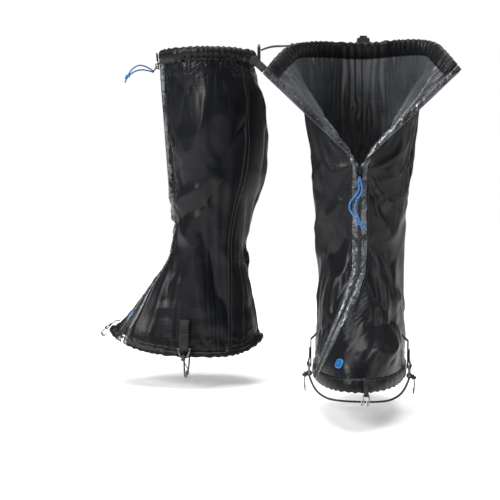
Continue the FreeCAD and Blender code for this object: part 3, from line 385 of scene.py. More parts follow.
def folds(leg, angle, height):
    """How far the listed folds and the soft facets push the cloth out, in metres."""
    wide = leg.reach(height)[..., 2] * math.radians(1) * 1.08
    total = np.zeros_like(height)
    true_angle, true_height = angle, height
    warp = 31 if leg.closed else 37
    height = height + 7 * value_noise(angle * wide / 26, height / 30, warp)
    angle = angle + 7 * value_noise(angle * wide / 24, height / 34, warp + 1)
    for start, low, end, high, width, depth in FOLDS[leg.side]:
        for turn in (-360, 0, 360):
            x = (angle + turn - start) * wide
            y = height - low
            run = np.stack(((end - start) * wide, (high - low) * np.ones_like(wide)), -1)
            length = np.linalg.norm(run, axis=-1)
            part = (x * run[..., 0] + y * run[..., 1]) / length ** 2
            gap = np.hypot(x - run[..., 0] * np.clip(part, 0, 1),
                           y - run[..., 1] * np.clip(part, 0, 1))
            fade = np.clip(1.4 * np.sin(np.pi * np.clip(part, 0.12, 0.88)), 0, 1)
            total += 1.25 * depth * np.exp(-(np.sqrt(gap ** 2 + 3.0) - 1.7) / width) * fade
    seed = 5 if leg.closed else 9
    x, y = angle * wide, height
    turned = np.stack((x * 0.86 + y * 0.5, y * 0.86 - x * 0.5), -1)
    soft = 1 - 2 * np.sqrt(value_noise(turned[..., 0] / 30, turned[..., 1] / 70, seed) ** 2 + 0.01)
    small = value_noise(turned[..., 0] / 15, turned[..., 1] / 34, seed + 1)
    total += 1.5 * soft + 0.55 * small
    angle, height = true_angle, true_height
    low = hem_height(leg, angle)
    hold = np.clip((height - low - 8) / 16, 0, 1) * np.clip((TOP - height - 14) / 24, 0, 1)
    column = np.arange(angle.shape[0])[:, None]
    hold = hold * np.clip((np.minimum(column, ACROSS - column) - 3) / 10, 0.12, 1)
    return total * hold * MM


class Surface:
    """A gaiter's cloth after the simulation, as a fine grid of points and normals."""

    def __init__(self, leg, points, angle, height):
        self.leg = leg
        self.points = refine(points)
        self.angle = refine(angle[..., None])[..., 0]
        self.height = refine(height[..., None])[..., 0]
        self.measure()
        self.points = self.points + self.normals * folds(leg, self.angle, self.height)[..., None]
        drop = (TOP - self.height) * MM
        top = np.exp(-np.clip(drop - 0.015, 0, None) / 0.020) * 0.0014 * gather(self.arc)
        rise = (self.height - self.height[:, :1]) * MM
        low = np.exp(-np.clip(rise - 0.009, 0, None) / 0.008) * 0.0006 * gather(self.arc * 0.9
                                                                                + 0.4)
        self.points = self.points + self.normals * (top + low)[..., None]
        self.measure()

    def measure(self):
        across = np.gradient(self.points, axis=0)
        self.normals = unit(np.cross(across, np.gradient(self.points, axis=1)) * self.leg.hand)
        steps = np.linalg.norm(np.diff(self.points, axis=0), axis=-1)
        arc = np.concatenate((np.zeros((1, steps.shape[1])), np.cumsum(steps, axis=0)))
        self.arc = arc - arc[ACROSS // 2]

    def pick(self, grid, u, v):
        u = np.clip(u, 0, ACROSS - 1e-6)
        v = np.clip(v, 0, UP_ROWS - 1e-6)
        i, j = u.astype(int), v.astype(int)
        fu, fv = (u - i)[..., None], (v - j)[..., None]
        return ((grid[i, j] * (1 - fu) + grid[i + 1, j] * fu) * (1 - fv)
                + (grid[i, j + 1] * (1 - fu) + grid[i + 1, j + 1] * fu) * fv)

    def at(self, u, v, out=0.0):
        """Points over the cloth: u across the grid, v up it and out from it, in metres."""
        u, v, out = np.broadcast_arrays(np.asarray(u, float), np.asarray(v, float),
                                        np.asarray(out, float))
        return self.pick(self.points, u, v) + self.pick(self.normals, u, v) * out[..., None]

    def row(self, u, height):
        """The row of a height, in millimetres, at a column."""
        u = np.clip(np.asarray(u, float), 0, ACROSS - 1e-6)
        i = u.astype(int)
        low = self.height[i, 0] * (1 - u + i) + self.height[i + 1, 0] * (u - i)
        return (height - low) / (TOP - low) * UP_ROWS

    def beside_zip(self, v, distance, hand):
        """The column at a distance, in metres, from the zip's edge; hand 1 is the medial side."""
        v = np.clip(np.asarray(v, float), 0, UP_ROWS - 1e-6)
        j = v.astype(int)
        if hand > 0:
            pace = (self.arc[6, j] - self.arc[0, j]) / 6
            return distance / pace
        pace = (self.arc[ACROSS, j] - self.arc[ACROSS - 6, j]) / 6
        return ACROSS - distance / pace


# ---------------------------------------------------------------- mesh tools


def add_mesh(name, points, faces, materials, uvs=None, normals=None, kinds=None):
    """A smooth mesh object from arrays of points and faces."""
    mesh = bpy.data.meshes.new(name)
    mesh.from_pydata(np.asarray(points).reshape(-1, 3).tolist(), [], [list(f) for f in faces])
    for entry in materials:
        mesh.materials.append(entry)
    mesh.polygons.foreach_set("use_smooth", [True] * len(mesh.polygons))
    if kinds is not None:
        mesh.polygons.foreach_set("material_index", kinds)
    if uvs is not None:
        layer = mesh.uv_layers.new(name="UVMap")
        index = np.zeros(len(mesh.loops), int)
        mesh.loops.foreach_get("vertex_index", index)
        layer.data.foreach_set("uv", np.asarray(uvs).reshape(-1, 2)[index].reshape(-1))
    mesh.update()
    if normals is not None:
        mesh.normals_split_custom_set_from_vertices(np.asarray(normals).reshape(-1, 3).tolist())
    piece = bpy.data.objects.new(name, mesh)
    bpy.context.scene.collection.objects.link(piece)
    return piece


def quads(columns, rows, start=0, flip=False):
    """The faces of a grid whose points are stored column by column."""
    index = np.arange(columns * rows).reshape(columns, rows) + start
    faces = np.stack((index[:-1, :-1], index[1:, :-1], index[1:, 1:], index[:-1, 1:]), -1)
    faces = faces.reshape(-1, 4)
    return faces[:, ::-1] if flip else faces


def rim(columns, rows, offset, flip=False):
    """Faces that close a grid to its copy, which is stored an offset later."""
    index = np.arange(columns * rows).reshape(columns, rows)
    loop = np.concatenate((index[:, 0], index[-1, 1:], index[-2::-1, -1], index[0, -2:0:-1]))
    after = np.roll(loop, -1)
    faces = np.stack((loop, loop + offset, after + offset, after), -1)
    return faces[:, ::-1] if flip else faces


def slab(name, top, bottom, uvs, materials, flip, normals=None, kinds=None):
    """A closed sheet between two grids of points."""
    columns, rows = top.shape[:2]
    count = columns * rows
    faces = np.concatenate((quads(columns, rows, 0, flip), quads(columns, rows, count, not flip),
                            rim(columns, rows, count, flip)))
    if kinds is not None:
        size = (columns - 1) * (rows - 1)
        kinds = [kinds[0]] * size + [kinds[1]] * size + [kinds[0]] * (len(faces) - 2 * size)
    if normals is not None:
        normals = np.concatenate((normals.reshape(-1, 3), -normals.reshape(-1, 3)))
    both = np.concatenate((uvs.reshape(-1, 2), uvs.reshape(-1, 2)))
    points = np.concatenate((top.reshape(-1, 3), bottom.reshape(-1, 3)))
    return add_mesh(name, points, faces, materials, both, normals, kinds)


def tube(name, points, radius, materials, sides=10, closed=False):
    """A round tube through points, with capped ends unless it is closed."""
    points = np.asarray(points, float)
    if closed:
        ahead = unit(np.roll(points, -1, 0) - np.roll(points, 1, 0))
    else:
        ahead = unit(np.gradient(points, axis=0))
    side = np.cross(ahead[0], (0.31, 0.52, 0.79))
    rings, uvs = [], []
    radius = np.broadcast_to(radius, (len(points),))
    along = 0.0
    for i, (spot, way) in enumerate(zip(points, ahead)):
        side = unit(side - way * np.dot(side, way))
        up = np.cross(way, side)
        turn = np.linspace(0, 2 * np.pi, sides, endpoint=False)[:, None]
        rings.append(spot + radius[i] * (side * np.cos(turn) + up * np.sin(turn)))
        uvs.append(np.stack((turn[:, 0] / (2 * np.pi) * 0.006, np.full(sides, along)), -1))
        if i + 1 < len(points):
            along += np.linalg.norm(points[i + 1] - spot)
    count = len(points)
    faces = []
    for i in range(count if closed else count - 1):
        following = (i + 1) % count
        for k in range(sides):
            near = (k + 1) % sides
            faces.append((i * sides + k, i * sides + near, following * sides + near,
                          following * sides + k))
    if not closed:
        faces.append(tuple(range(sides))[::-1])
        faces.append(tuple((count - 1) * sides + k for k in range(sides)))
    return add_mesh(name, np.concatenate(rings), faces, materials, np.concatenate(uvs))


def smooth_line(points, count):
    """A smooth line through a few points."""
    points = np.asarray(points, float)
    padded = np.concatenate((2 * points[:1] - points[1:2], points, 2 * points[-1:] - points[-2:-1]))
    spans = len(points) - 1
    spot = np.linspace(0, spans - 1e-9, count)
    i = spot.astype(int)
    t = (spot - i)[:, None]
    a, b, c, d = padded[i], padded[i + 1], padded[i + 2], padded[i + 3]
    return 0.5 * (2 * b + (c - a) * t + (2 * a - 5 * b + 4 * c - d) * t ** 2
                  + (3 * b - a - 3 * c + d) * t ** 3)


def stitch_row(lines, materials, name, pitch=0.0031, length=0.0022, radius=0.00028):
    """Sewn stitches along lines of points and normals, in one mesh."""
    sides = 6
    shares = np.array((0, 0.2, 0.5, 0.8, 1.0))
    sizes = np.array((0.25, 0.85, 1.0, 0.85, 0.25)) * radius
    lifts = np.array((-0.5, 0.4, 0.8, 0.4, -0.5)) * radius
    rings = []
    for points, normals in lines:
        steps = np.linalg.norm(np.diff(points, axis=0), axis=-1)
        arc = np.concatenate(((0,), np.cumsum(steps)))
        starts = np.arange(0.0008, arc[-1] - length, pitch)
        for share, wide, lift in zip(shares, sizes, lifts):
            spot = starts + length * share
            at = np.stack([np.interp(spot, arc, points[:, k]) for k in range(3)], -1)
            out = unit(np.stack([np.interp(spot, arc, normals[:, k]) for k in range(3)], -1))
            ahead = np.stack([np.interp(spot + 0.0006, arc, points[:, k])
                              - np.interp(spot - 0.0006, arc, points[:, k]) for k in range(3)], -1)
            side = unit(np.cross(unit(ahead), out))
            turn = np.linspace(0, 2 * np.pi, sides, endpoint=False)
            ring = (at + out * lift)[:, None] + wide * (
                side[:, None] * np.cos(turn)[None, :, None] + out[:, None]
                * np.sin(turn)[None, :, None])
            rings.append((len(starts), ring))
    points, faces, start = [], [], 0
    levels = len(shares)
    for first in range(0, len(rings), levels):
        count = rings[first][0]
        if not count:
            continue
        block = np.stack([rings[first + k][1] for k in range(levels)], 1)
        points.append(block.reshape(-1, 3))
        index = np.arange(count * levels * sides).reshape(count, levels, sides) + start
        near = np.roll(index, -1, axis=2)
        side = np.stack((index[:, :-1], near[:, :-1], near[:, 1:], index[:, 1:]), -1)
        faces.append(side.reshape(-1, 4))
        start += count * levels * sides
    faces = np.concatenate(faces)
    return add_mesh(name, np.concatenate(points), faces, materials)


# ---------------------------------------------------------------- materials


class Finish:
    """A material with its nodes at hand."""

    def __init__(self, name, color, roughness, **sockets):
        self.material = bpy.data.materials.new(name)
        self.material.use_nodes = True
        self.tree = self.material.node_tree
        self.shader = self.tree.nodes["Principled BSDF"]
        self.shader.inputs["Base Color"].default_value = color + (1.0,)
        self.shader.inputs["Roughness"].default_value = roughness
        for socket, value in sockets.items():
            self.shader.inputs[socket.replace("_", " ")].default_value = value
        self.place = self.tree.nodes.new("ShaderNodeTexCoord")

    def node(self, kind, **values):
        made = self.tree.nodes.new("ShaderNode" + kind)
        for name, value in values.items():
            setattr(made, name, value)
        return made

    def link(self, start, end):
        self.tree.links.new(start, end)

    def noise(self, scale, detail=3.0, space="Object", stretch=None):
        made = self.node("TexNoise")
        made.inputs["Scale"].default_value = scale
        made.inputs["Detail"].default_value = detail
        source = self.place.outputs[space]
        if stretch:
            mapping = self.node("Mapping")
            mapping.inputs["Scale"].default_value = stretch
            self.link(source, mapping.inputs["Vector"])
            source = mapping.outputs["Vector"]
        self.link(source, made.inputs["Vector"])
        return made.outputs["Fac"]

    def bands(self, scale, direction, space="UV", distortion=0.0):
        made = self.node("TexWave", bands_direction=direction)
        made.inputs["Scale"].default_value = scale
        made.inputs["Distortion"].default_value = distortion
        self.link(self.place.outputs[space], made.inputs["Vector"])
        return made.outputs["Fac"]

    def math(self, operation, first, second, clamp=False):
        made = self.node("Math", operation=operation, use_clamp=clamp)
        for socket, value in zip(made.inputs, (first, second)):
            if isinstance(value, (int, float)):
                socket.default_value = value
            else:
                self.link(value, socket)
        return made.outputs["Value"]

    def ramp(self, source, stops):
        made = self.node("ValToRGB")
        points = made.color_ramp.elements
        while len(points) < len(stops):
            points.new(0.5)
        for point, (spot, color) in zip(points, stops):
            point.position = spot
            point.color = color + (1.0,)
        self.link(source, made.inputs["Fac"])
        return made.outputs["Color"]

    def color(self, source, stops):
        self.link(self.ramp(source, stops), self.shader.inputs["Base Color"])

    def rough(self, source, low, high):
        made = self.node("MapRange")
        made.inputs["To Min"].default_value = low
        made.inputs["To Max"].default_value = high
        self.link(source, made.inputs["Value"])
        self.link(made.outputs["Result"], self.shader.inputs["Roughness"])

    def bump(self, source, distance, strength=1.0):
        made = self.node("Bump")
        made.inputs["Distance"].default_value = distance
        made.inputs["Strength"].default_value = strength
        self.link(source, made.inputs["Height"])
        socket = self.shader.inputs["Normal"]
        if socket.is_linked:
            self.link(socket.links[0].from_socket, made.inputs["Normal"])
        self.link(made.outputs["Normal"], socket)


def woven(name, dark, light, roughness, grid, weave, **sockets):
    """Thin ripstop cloth: a fine weave with a grid of thicker threads, slightly creased."""
    cloth = Finish(name, dark, roughness, **sockets)
    threads = []
    for direction in ("X", "Y"):
        band = cloth.bands(math.pi / (10 * grid), direction)
        threads.append(cloth.math("POWER", band, 14.0))
    lines = cloth.math("MAXIMUM", threads[0], threads[1])
    fine = cloth.math("MULTIPLY", cloth.bands(math.pi / (10 * weave), "X"),
                      cloth.bands(math.pi / (10 * weave), "Y"))
    wear = cloth.noise(38, 5)
    mottle = cloth.noise(420, 3)
    cloth.color(cloth.math("ADD", cloth.math("MULTIPLY", wear, 0.75),
                           cloth.math("MULTIPLY", lines, 0.22)),
                ((0.25, dark), (0.75, light)))
    cloth.rough(cloth.math("ADD", cloth.math("MULTIPLY", wear, 0.7),
                           cloth.math("MULTIPLY", mottle, 0.3)),
                roughness - 0.04, roughness + 0.06)
    cloth.bump(lines, 0.00009, 0.6)
    cloth.bump(fine, 0.00003, 0.6)
    cloth.bump(cloth.noise(60, 3), 0.0005, 0.25)
    return cloth.material


SHELL = woven("ripstop_nylon", (0.0030, 0.0034, 0.0044), (0.0058, 0.0064, 0.0080), 0.36, 0.0052,
              0.0007, Sheen_Weight=0.03, Sheen_Roughness=0.45, Coat_Weight=0.05,
              Coat_Roughness=0.26, Specular_IOR_Level=0.17)
LINING = woven("coated_inside", (0.026, 0.028, 0.031), (0.066, 0.071, 0.077), 0.34, 0.0052,
               0.0007, Sheen_Weight=0.05, Sheen_Roughness=0.5, Coat_Weight=0.30,
               Coat_Roughness=0.30, Specular_IOR_Level=0.45)
HEM = woven("hem_nylon", (0.0028, 0.0032, 0.0041), (0.0054, 0.0059, 0.0073), 0.40, 0.0052,
            0.0007, Sheen_Weight=0.03, Sheen_Roughness=0.45, Coat_Weight=0.04,
            Coat_Roughness=0.32, Specular_IOR_Level=0.17)


def tape_finish(name, dark, light):
    """Coated zip tape: crinkled, with painted highlights on its crinkles; the crinkles and their
    painted highlights both come in patches.
    """
    tape = Finish(name, dark, 0.26, Coat_Weight=0.5, Coat_Roughness=0.16, Specular_IOR_Level=0.6)
    # Patch mask: where the crinkles are deep and carry strong painted highlights.
    glint_and_crinkle_patches = tape.math("ADD", tape.math("MULTIPLY", tape.noise(26, 1, "UV"), 2.0), -0.22)
    crinkle_and_glint = tape.math("MULTIPLY", tape.noise(260, 4, "UV"), tape.math("MINIMUM", glint_and_crinkle_patches, 1.15))
    # The crinkle pattern lightens the colour: painted highlights on the crinkles, not a colour of
    # the tape.
    tape.color(crinkle_and_glint, ((0.26, dark), (0.62, light)))
    tape.rough(tape.noise(900, 3), 0.20, 0.36)
    tape.bump(crinkle_and_glint, 0.0011, 0.9)
    tape.bump(tape.noise(1500, 2), 0.0001, 0.5)
    return tape.material


def plain_thread(name, dark, light, roughness=0.6):
    thread = Finish(name, dark, roughness, Sheen_Weight=0.2, Sheen_Roughness=0.5)
    thread.color(thread.noise(2500, 2), ((0.3, dark), (0.7, light)))
    thread.bump(thread.bands(9000, "DIAGONAL", "Object"), 0.00005, 0.6)
    return thread.material


def webbing_finish(name, dark, light):
    """Woven webbing: ribs across it and a twill along it."""
    web = Finish(name, dark, 0.62, Sheen_Weight=0.08, Sheen_Roughness=0.5, Specular_IOR_Level=0.25)
    ribs = web.bands(math.pi / (10 * 0.0011), "Y")
    twill = web.bands(math.pi / (10 * 0.0014), "DIAGONAL")
    both = web.math("MULTIPLY", ribs, web.math("ADD", web.math("MULTIPLY", twill, 0.5), 0.5))
    web.color(web.math("ADD", web.math("MULTIPLY", both, 0.6),
                       web.math("MULTIPLY", web.noise(500), 0.4)),
              ((0.2, dark), (0.8, light)))
    web.rough(web.noise(700), 0.52, 0.72)
    web.bump(both, 0.00018, 0.9)
    return web.material


def metal_finish(name, dark, light, roughness, metallic=1.0):
    """Cast or drawn metal with a worn finish."""
    metal = Finish(name, dark, roughness, Metallic=metallic, Specular_IOR_Level=0.5)
    wear = metal.noise(240, 5)
    metal.color(wear, ((0.35, dark), (0.7, light)))
    metal.rough(metal.noise(900, 4), roughness - 0.06, roughness + 0.12)
    metal.bump(metal.noise(1600, 3), 0.00006, 0.5)
    return metal.material


def plastic_finish(name, dark, light, roughness):
    """Moulded plastic with a spark-eroded grain."""
    plastic = Finish(name, dark, roughness, Specular_IOR_Level=0.5)
    plastic.color(plastic.noise(130, 4), ((0.3, dark), (0.75, light)))
    plastic.rough(plastic.noise(1200, 3), roughness - 0.05, roughness + 0.1)
    plastic.bump(plastic.noise(2600, 2), 0.00005, 0.7)
    return plastic.material


def braid_finish(name, dark, light, fleck):
    """Braided cord: two crossing sets of strands, with lighter flecks."""
    braid = Finish(name, dark, 0.55, Sheen_Weight=0.3, Sheen_Roughness=0.45)
    one = braid.bands(420, "DIAGONAL", "Object")
    two = braid.bands(380, "X", "Object")
    both = braid.math("MULTIPLY", one, two)
    mixed = braid.math("ADD", braid.math("MULTIPLY", both, 0.55),
                       braid.math("MULTIPLY", braid.noise(700, 2), 0.6))
    braid.color(mixed, ((0.2, dark), (0.55, light), (0.85, fleck)))
    braid.bump(both, 0.00022, 0.9)
    return braid.material


# The zip tape's lighter colour stands for painted highlights on its crinkles.
TAPE = tape_finish("coated_zip_tape", (0.012, 0.0135, 0.016), (0.150, 0.160, 0.172))
# A darker copy of the zip tape for the open flaps: painted shade, with dimmer painted highlights.
SHADED_FLAP_TAPE = tape_finish("shaded_flap_tape", (0.010, 0.011, 0.013), (0.060, 0.065, 0.071))
COIL = plastic_finish("zip_coil", (0.006, 0.006, 0.007), (0.014, 0.014, 0.016), 0.36)
THREAD = plain_thread("sewing_thread", (0.010, 0.010, 0.012), (0.030, 0.031, 0.034))
WEB = webbing_finish("black_webbing", (0.0035, 0.0037, 0.0045), (0.0130, 0.0135, 0.0155))
PATCH = webbing_finish("hook_patch_pile", (0.006, 0.006, 0.007), (0.016, 0.016, 0.018))
PULLER = metal_finish("puller_metal", (0.020, 0.021, 0.024), (0.055, 0.057, 0.062), 0.30)
SLIDER = metal_finish("slider_metal", (0.016, 0.017, 0.019), (0.050, 0.052, 0.056), 0.32)
RING = metal_finish("ring_steel", (0.080, 0.082, 0.086), (0.190, 0.195, 0.200), 0.26)
HOOK = metal_finish("hook_steel", (0.180, 0.185, 0.190), (0.420, 0.425, 0.430), 0.24)
SPRING = metal_finish("spring_steel", (0.300, 0.305, 0.310), (0.480, 0.485, 0.490), 0.25)
LOCK = plastic_finish("lock_plastic", (0.009, 0.009, 0.010), (0.020, 0.020, 0.022), 0.40)
BUTTON = plastic_finish("button_plastic", (0.012, 0.012, 0.013), (0.026, 0.026, 0.028), 0.34)
CORD = braid_finish("black_cord", (0.006, 0.006, 0.008), (0.016, 0.017, 0.020),
                    (0.050, 0.052, 0.058))
BLUE_CORD = braid_finish("blue_cord", (0.002, 0.060, 0.220), (0.003, 0.170, 0.500),
                         (0.030, 0.330, 0.680))
BADGE = plastic_finish("blue_badge", (0.006, 0.110, 0.300), (0.012, 0.180, 0.440), 0.40)
BADGE_MARK = plastic_finish("badge_mark", (0.002, 0.030, 0.100), (0.004, 0.050, 0.150), 0.40)

# ---------------------------------------------------------------- fitting pieces to the bodies


def make_surface(leg):
    angle, height = grid_angles(leg)
    base, full = rest_lengths(leg, angle, height)
    base, full = leg.to_world(base), leg.to_world(full)
    points = base
    form = leg_form(leg)
    loose = simulate(leg, base, full, pin_weights(leg, angle, height)) - base
    bpy.data.objects.remove(form)
    size = np.linalg.norm(loose, axis=-1, keepdims=True)
    cap = 0.0095
    points = base + loose * np.tanh(size / cap) * cap / np.maximum(size, 1e-9)
    return Surface(leg, points, angle, height)


def settle(piece, leg, region, replaced=()):
    """Hides the nodes a sewn piece replaces and gives a piece on the shell its body; a piece on an
    open flap is only baked where it lies.
    """
    for node in replaced:
        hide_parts(leg.side + "_" + node)
    if leg.closed or region == "shell":
        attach(piece, leg.side + "_shell")
        return piece
    hand = 1 if region == "inner" else -1
    start = apex_point(leg)
    way = np.array((0.976, 0.132 * hand, 0.147))
    ends = leg.to_world(np.stack((start, start + 10 * way)))
    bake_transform(piece)
    return piece


def regions(leg, hand):
    """The spans of rows that a piece on one side of the zip is made in, with their regions."""
    split = float(np.round((SPLIT_HEIGHT - 44) / (TOP - 44) * UP_ROWS))
    if leg.closed:
        return ((0.0, UP_ROWS - 0.001, "shell", ""),)
    return ((0.0, split, "shell", ""),
            (split, UP_ROWS - 0.001, "inner" if hand > 0 else "outer", "_upper"))


def skin(surface, name, first, last, low, high, region, replaced):
    """Part of the cloth, with its coated inside."""
    leg = surface.leg
    part = (slice(int(first), int(last) + 1), slice(int(low), int(high) + 1))
    points, normals = surface.points[part], surface.normals[part]
    uvs = np.stack((surface.arc[part], surface.height[part] * MM), -1)
    piece = slab(name, points + normals * CLOTH, points, uvs, (SHELL, LINING), leg.hand < 0,
                 normals, (0, 1))
    return settle(piece, leg, region, replaced)


def cloth_pieces(surface):
    leg = surface.leg
    if leg.closed:
        return [skin(surface, "right_sleeve", 0, ACROSS, 0, UP_ROWS, "shell",
                     ("medial_panel", "lateral_panel", "rear_panel"))]
    split = regions(leg, 1)[1][0]
    return [skin(surface, "left_lower_sleeve", 0, ACROSS, 0, split, "shell", ("medial_panel",)),
            skin(surface, "left_calf_cloth", MEDIAL_SEAM, LATERAL_SEAM, split, UP_ROWS, "shell",
                 ("rear_panel",)),
            skin(surface, "left_inner_collar", 0, MEDIAL_SEAM, split, UP_ROWS, "inner",
                 ("medial_flap",)),
            skin(surface, "left_outer_collar", LATERAL_SEAM, ACROSS, split, UP_ROWS, "outer",
                 ("lateral_panel", "lateral_flap"))]


# A hem's section: its distance from the edge and its offset from the cloth, in millimetres.
TOP_SECTION = ((19.4, 0.9), (18.6, 1.7), (16.0, 2.6), (11.5, 3.3), (6.5, 3.4), (2.5, 2.8),
               (-0.2, 1.5), (-1.0, 0.2), (-0.2, -1.2), (3.0, -2.0), (8.0, -2.3), (13.0, -1.9),
               (17.0, -1.0), (18.5, -0.2))
LOW_SECTION = ((13.6, 0.9), (12.8, 1.5), (10.5, 2.2), (7.0, 2.6), (3.5, 2.4), (1.0, 1.7),
               (-0.6, 0.6),
               (-0.8, -0.4), (0.4, -1.3), (3.5, -1.7), (7.5, -1.6), (11.0, -0.9), (12.6, -0.2))


def hem(surface, name, top, first, last, region, replaced):
    """A gathered, rounded channel along the cloth's top or lower edge."""
    leg = surface.leg
    count = int(abs(last - first) * 2.6) + 2
    u = np.linspace(first, last, count)
    edge = UP_ROWS - 0.01 if top else 0.0
    pleat = gather(surface.pick(surface.arc[..., None], u, np.full(count, edge))[:, 0]
                   * (1.0 if top else 0.9) + (0.0 if top else 0.4))
    section = TOP_SECTION if top else LOW_SECTION
    depth = 1.0
    if not top:
        turn = surface.pick(surface.angle[..., None], u, u * 0)[:, 0]
        depth = 0.07 + (0.5 if leg.closed else 0.22) * np.exp(-((turn + 180) % 360
                                                                - 180) ** 2 / 1800)
    rows, uvs = [], []
    travel = 0.0
    for k, (gap, out) in enumerate(section):
        height = TOP - gap if top else surface.pick(surface.height[..., None], u, u * 0)[:, 0] + gap
        v = surface.row(u, height)
        fat = math.sin(math.pi * (k + 0.5) / len(section))
        puff = pleat * depth * (0.25 + fat * 0.85) * (1 if out > 0 else -0.6)
        points = surface.at(u, v, (out + puff) * MM)
        beyond = -min(gap, 0.0) + (0.9 * pleat * fat if abs(out) < 2.9 else 0)
        points[:, 2] += beyond * MM * (1 if top else -1) * (1 if gap < 4 else 0)
        rows.append(points)
        arc = surface.pick(surface.arc[..., None], u, np.clip(v, 0, UP_ROWS - 1))[:, 0]
        uvs.append(np.stack((arc, np.full(count, travel)), -1))
        travel += 0.003
    points = np.stack(rows, 1)
    uvs = np.stack(uvs, 1)
    total = len(section)
    index = np.arange(count * total).reshape(count, total)
    near = np.roll(index, -1, axis=1)
    faces = np.stack((index[:-1], index[1:], near[1:], near[:-1]), -1).reshape(-1, 4)
    faces = [tuple(face) for face in faces] + [tuple(index[0])[::-1], tuple(index[-1])]
    if leg.hand * (1 if top else -1) > 0:
        faces = [face[::-1] for face in faces]
    piece = add_mesh(name, points, faces, (HEM,), uvs)
    return settle(piece, leg, region, replaced)


def hems(surface):
    leg = surface.leg
    side = leg.side
    clear_top, clear_low = 0.0085, 0.0062
    start = surface.beside_zip(np.array(UP_ROWS - 1.0), clear_top, 1).item()
    end = surface.beside_zip(np.array(UP_ROWS - 1.0), clear_top, -1).item()
    low_start = surface.beside_zip(np.array(4.0), clear_low, 1).item()
    low_end = surface.beside_zip(np.array(4.0), clear_low, -1).item()
    pieces = [hem(surface, side + "_lower_hem", False, low_start, low_end, "shell",
                  ("bottom_hem",))]
    if leg.closed:
        pieces.append(hem(surface, "right_drawcord_channel", True, start, end, "shell",
                          ("top_hem",)))
        return pieces
    pieces.append(hem(surface, "left_rear_channel", True, MEDIAL_SEAM, LATERAL_SEAM, "shell",
                      ("top_hem",)))
    pieces.append(hem(surface, "left_inner_channel", True, start, MEDIAL_SEAM, "inner",
                      ("medial_flap_hem",)))
    pieces.append(hem(surface, "left_outer_channel", True, LATERAL_SEAM, end, "outer",
                      ("lateral_flap_hem",)))
    return pieces


def zip_rows(low, high, step=0.75):
    return np.arange(max(low, 0.1), high + step / 2, step)


def zip_tape(surface, hand, low, high, region, tail, replaced):
    """One side of the zip's crinkled, coated tape; on an open flap it shows on both faces."""
    leg = surface.leg
    v = zip_rows(low, high)
    count = 11
    share = np.linspace(0, 1, count)
    nominal = surface.height[0 if hand > 0 else ACROSS, np.clip(v.astype(int), 0, UP_ROWS)]
    bright = np.clip((nominal - 60) / 25, 0, 1)
    edge = value_noise(v / 5.0, v * 0 + hand, 21 + int(leg.closed)) * 0.0006
    distance = -0.0004 + share[:, None] * (0.0074 + edge)[None, :]
    grid_v = np.broadcast_to(v, distance.shape)
    u = np.where(hand > 0, 0, ACROSS) + (surface.beside_zip(grid_v, distance, hand)
                                         - (0 if hand > 0 else ACROSS))
    middle = np.sin(np.pi * share)[:, None]
    crumple = (value_noise(grid_v / 3.1, distance / 0.0031, 31 + hand + 4 * leg.closed)
               + 0.6 * value_noise(grid_v / 1.5, distance / 0.0016, 41 + hand + 4 * leg.closed))
    top = (1.5 + (0.25 + middle) * 0.62 * crumple * (0.4 + 0.6 * bright)[None, :] + 0.5
           * middle) * MM
    rise = np.clip((nominal - APEX) / 22, 0, 1) * (0 if leg.closed else 1)
    under = (0.85 - 2.4 * rise)[None, :] * MM + np.zeros_like(top)
    under = under - (rise[None, :] * middle * 0.5 * (crumple + 0.6)) * MM
    points = surface.at(u, grid_v, top)
    bottom = surface.at(u, grid_v, under)
    uvs = np.stack((np.broadcast_to(distance, u.shape), grid_v * 0.0018), -1)
    flip = (leg.hand * hand) < 0
    # On the open flaps the tape takes its darker copy, which is painted shade.
    piece = slab("%s_zip_tape_%s%s" % (leg.side, "a" if hand > 0 else "b", tail), points, bottom,
                 uvs,
                 (SHADED_FLAP_TAPE if tail else TAPE,), flip)
    return settle(piece, leg, region, replaced)


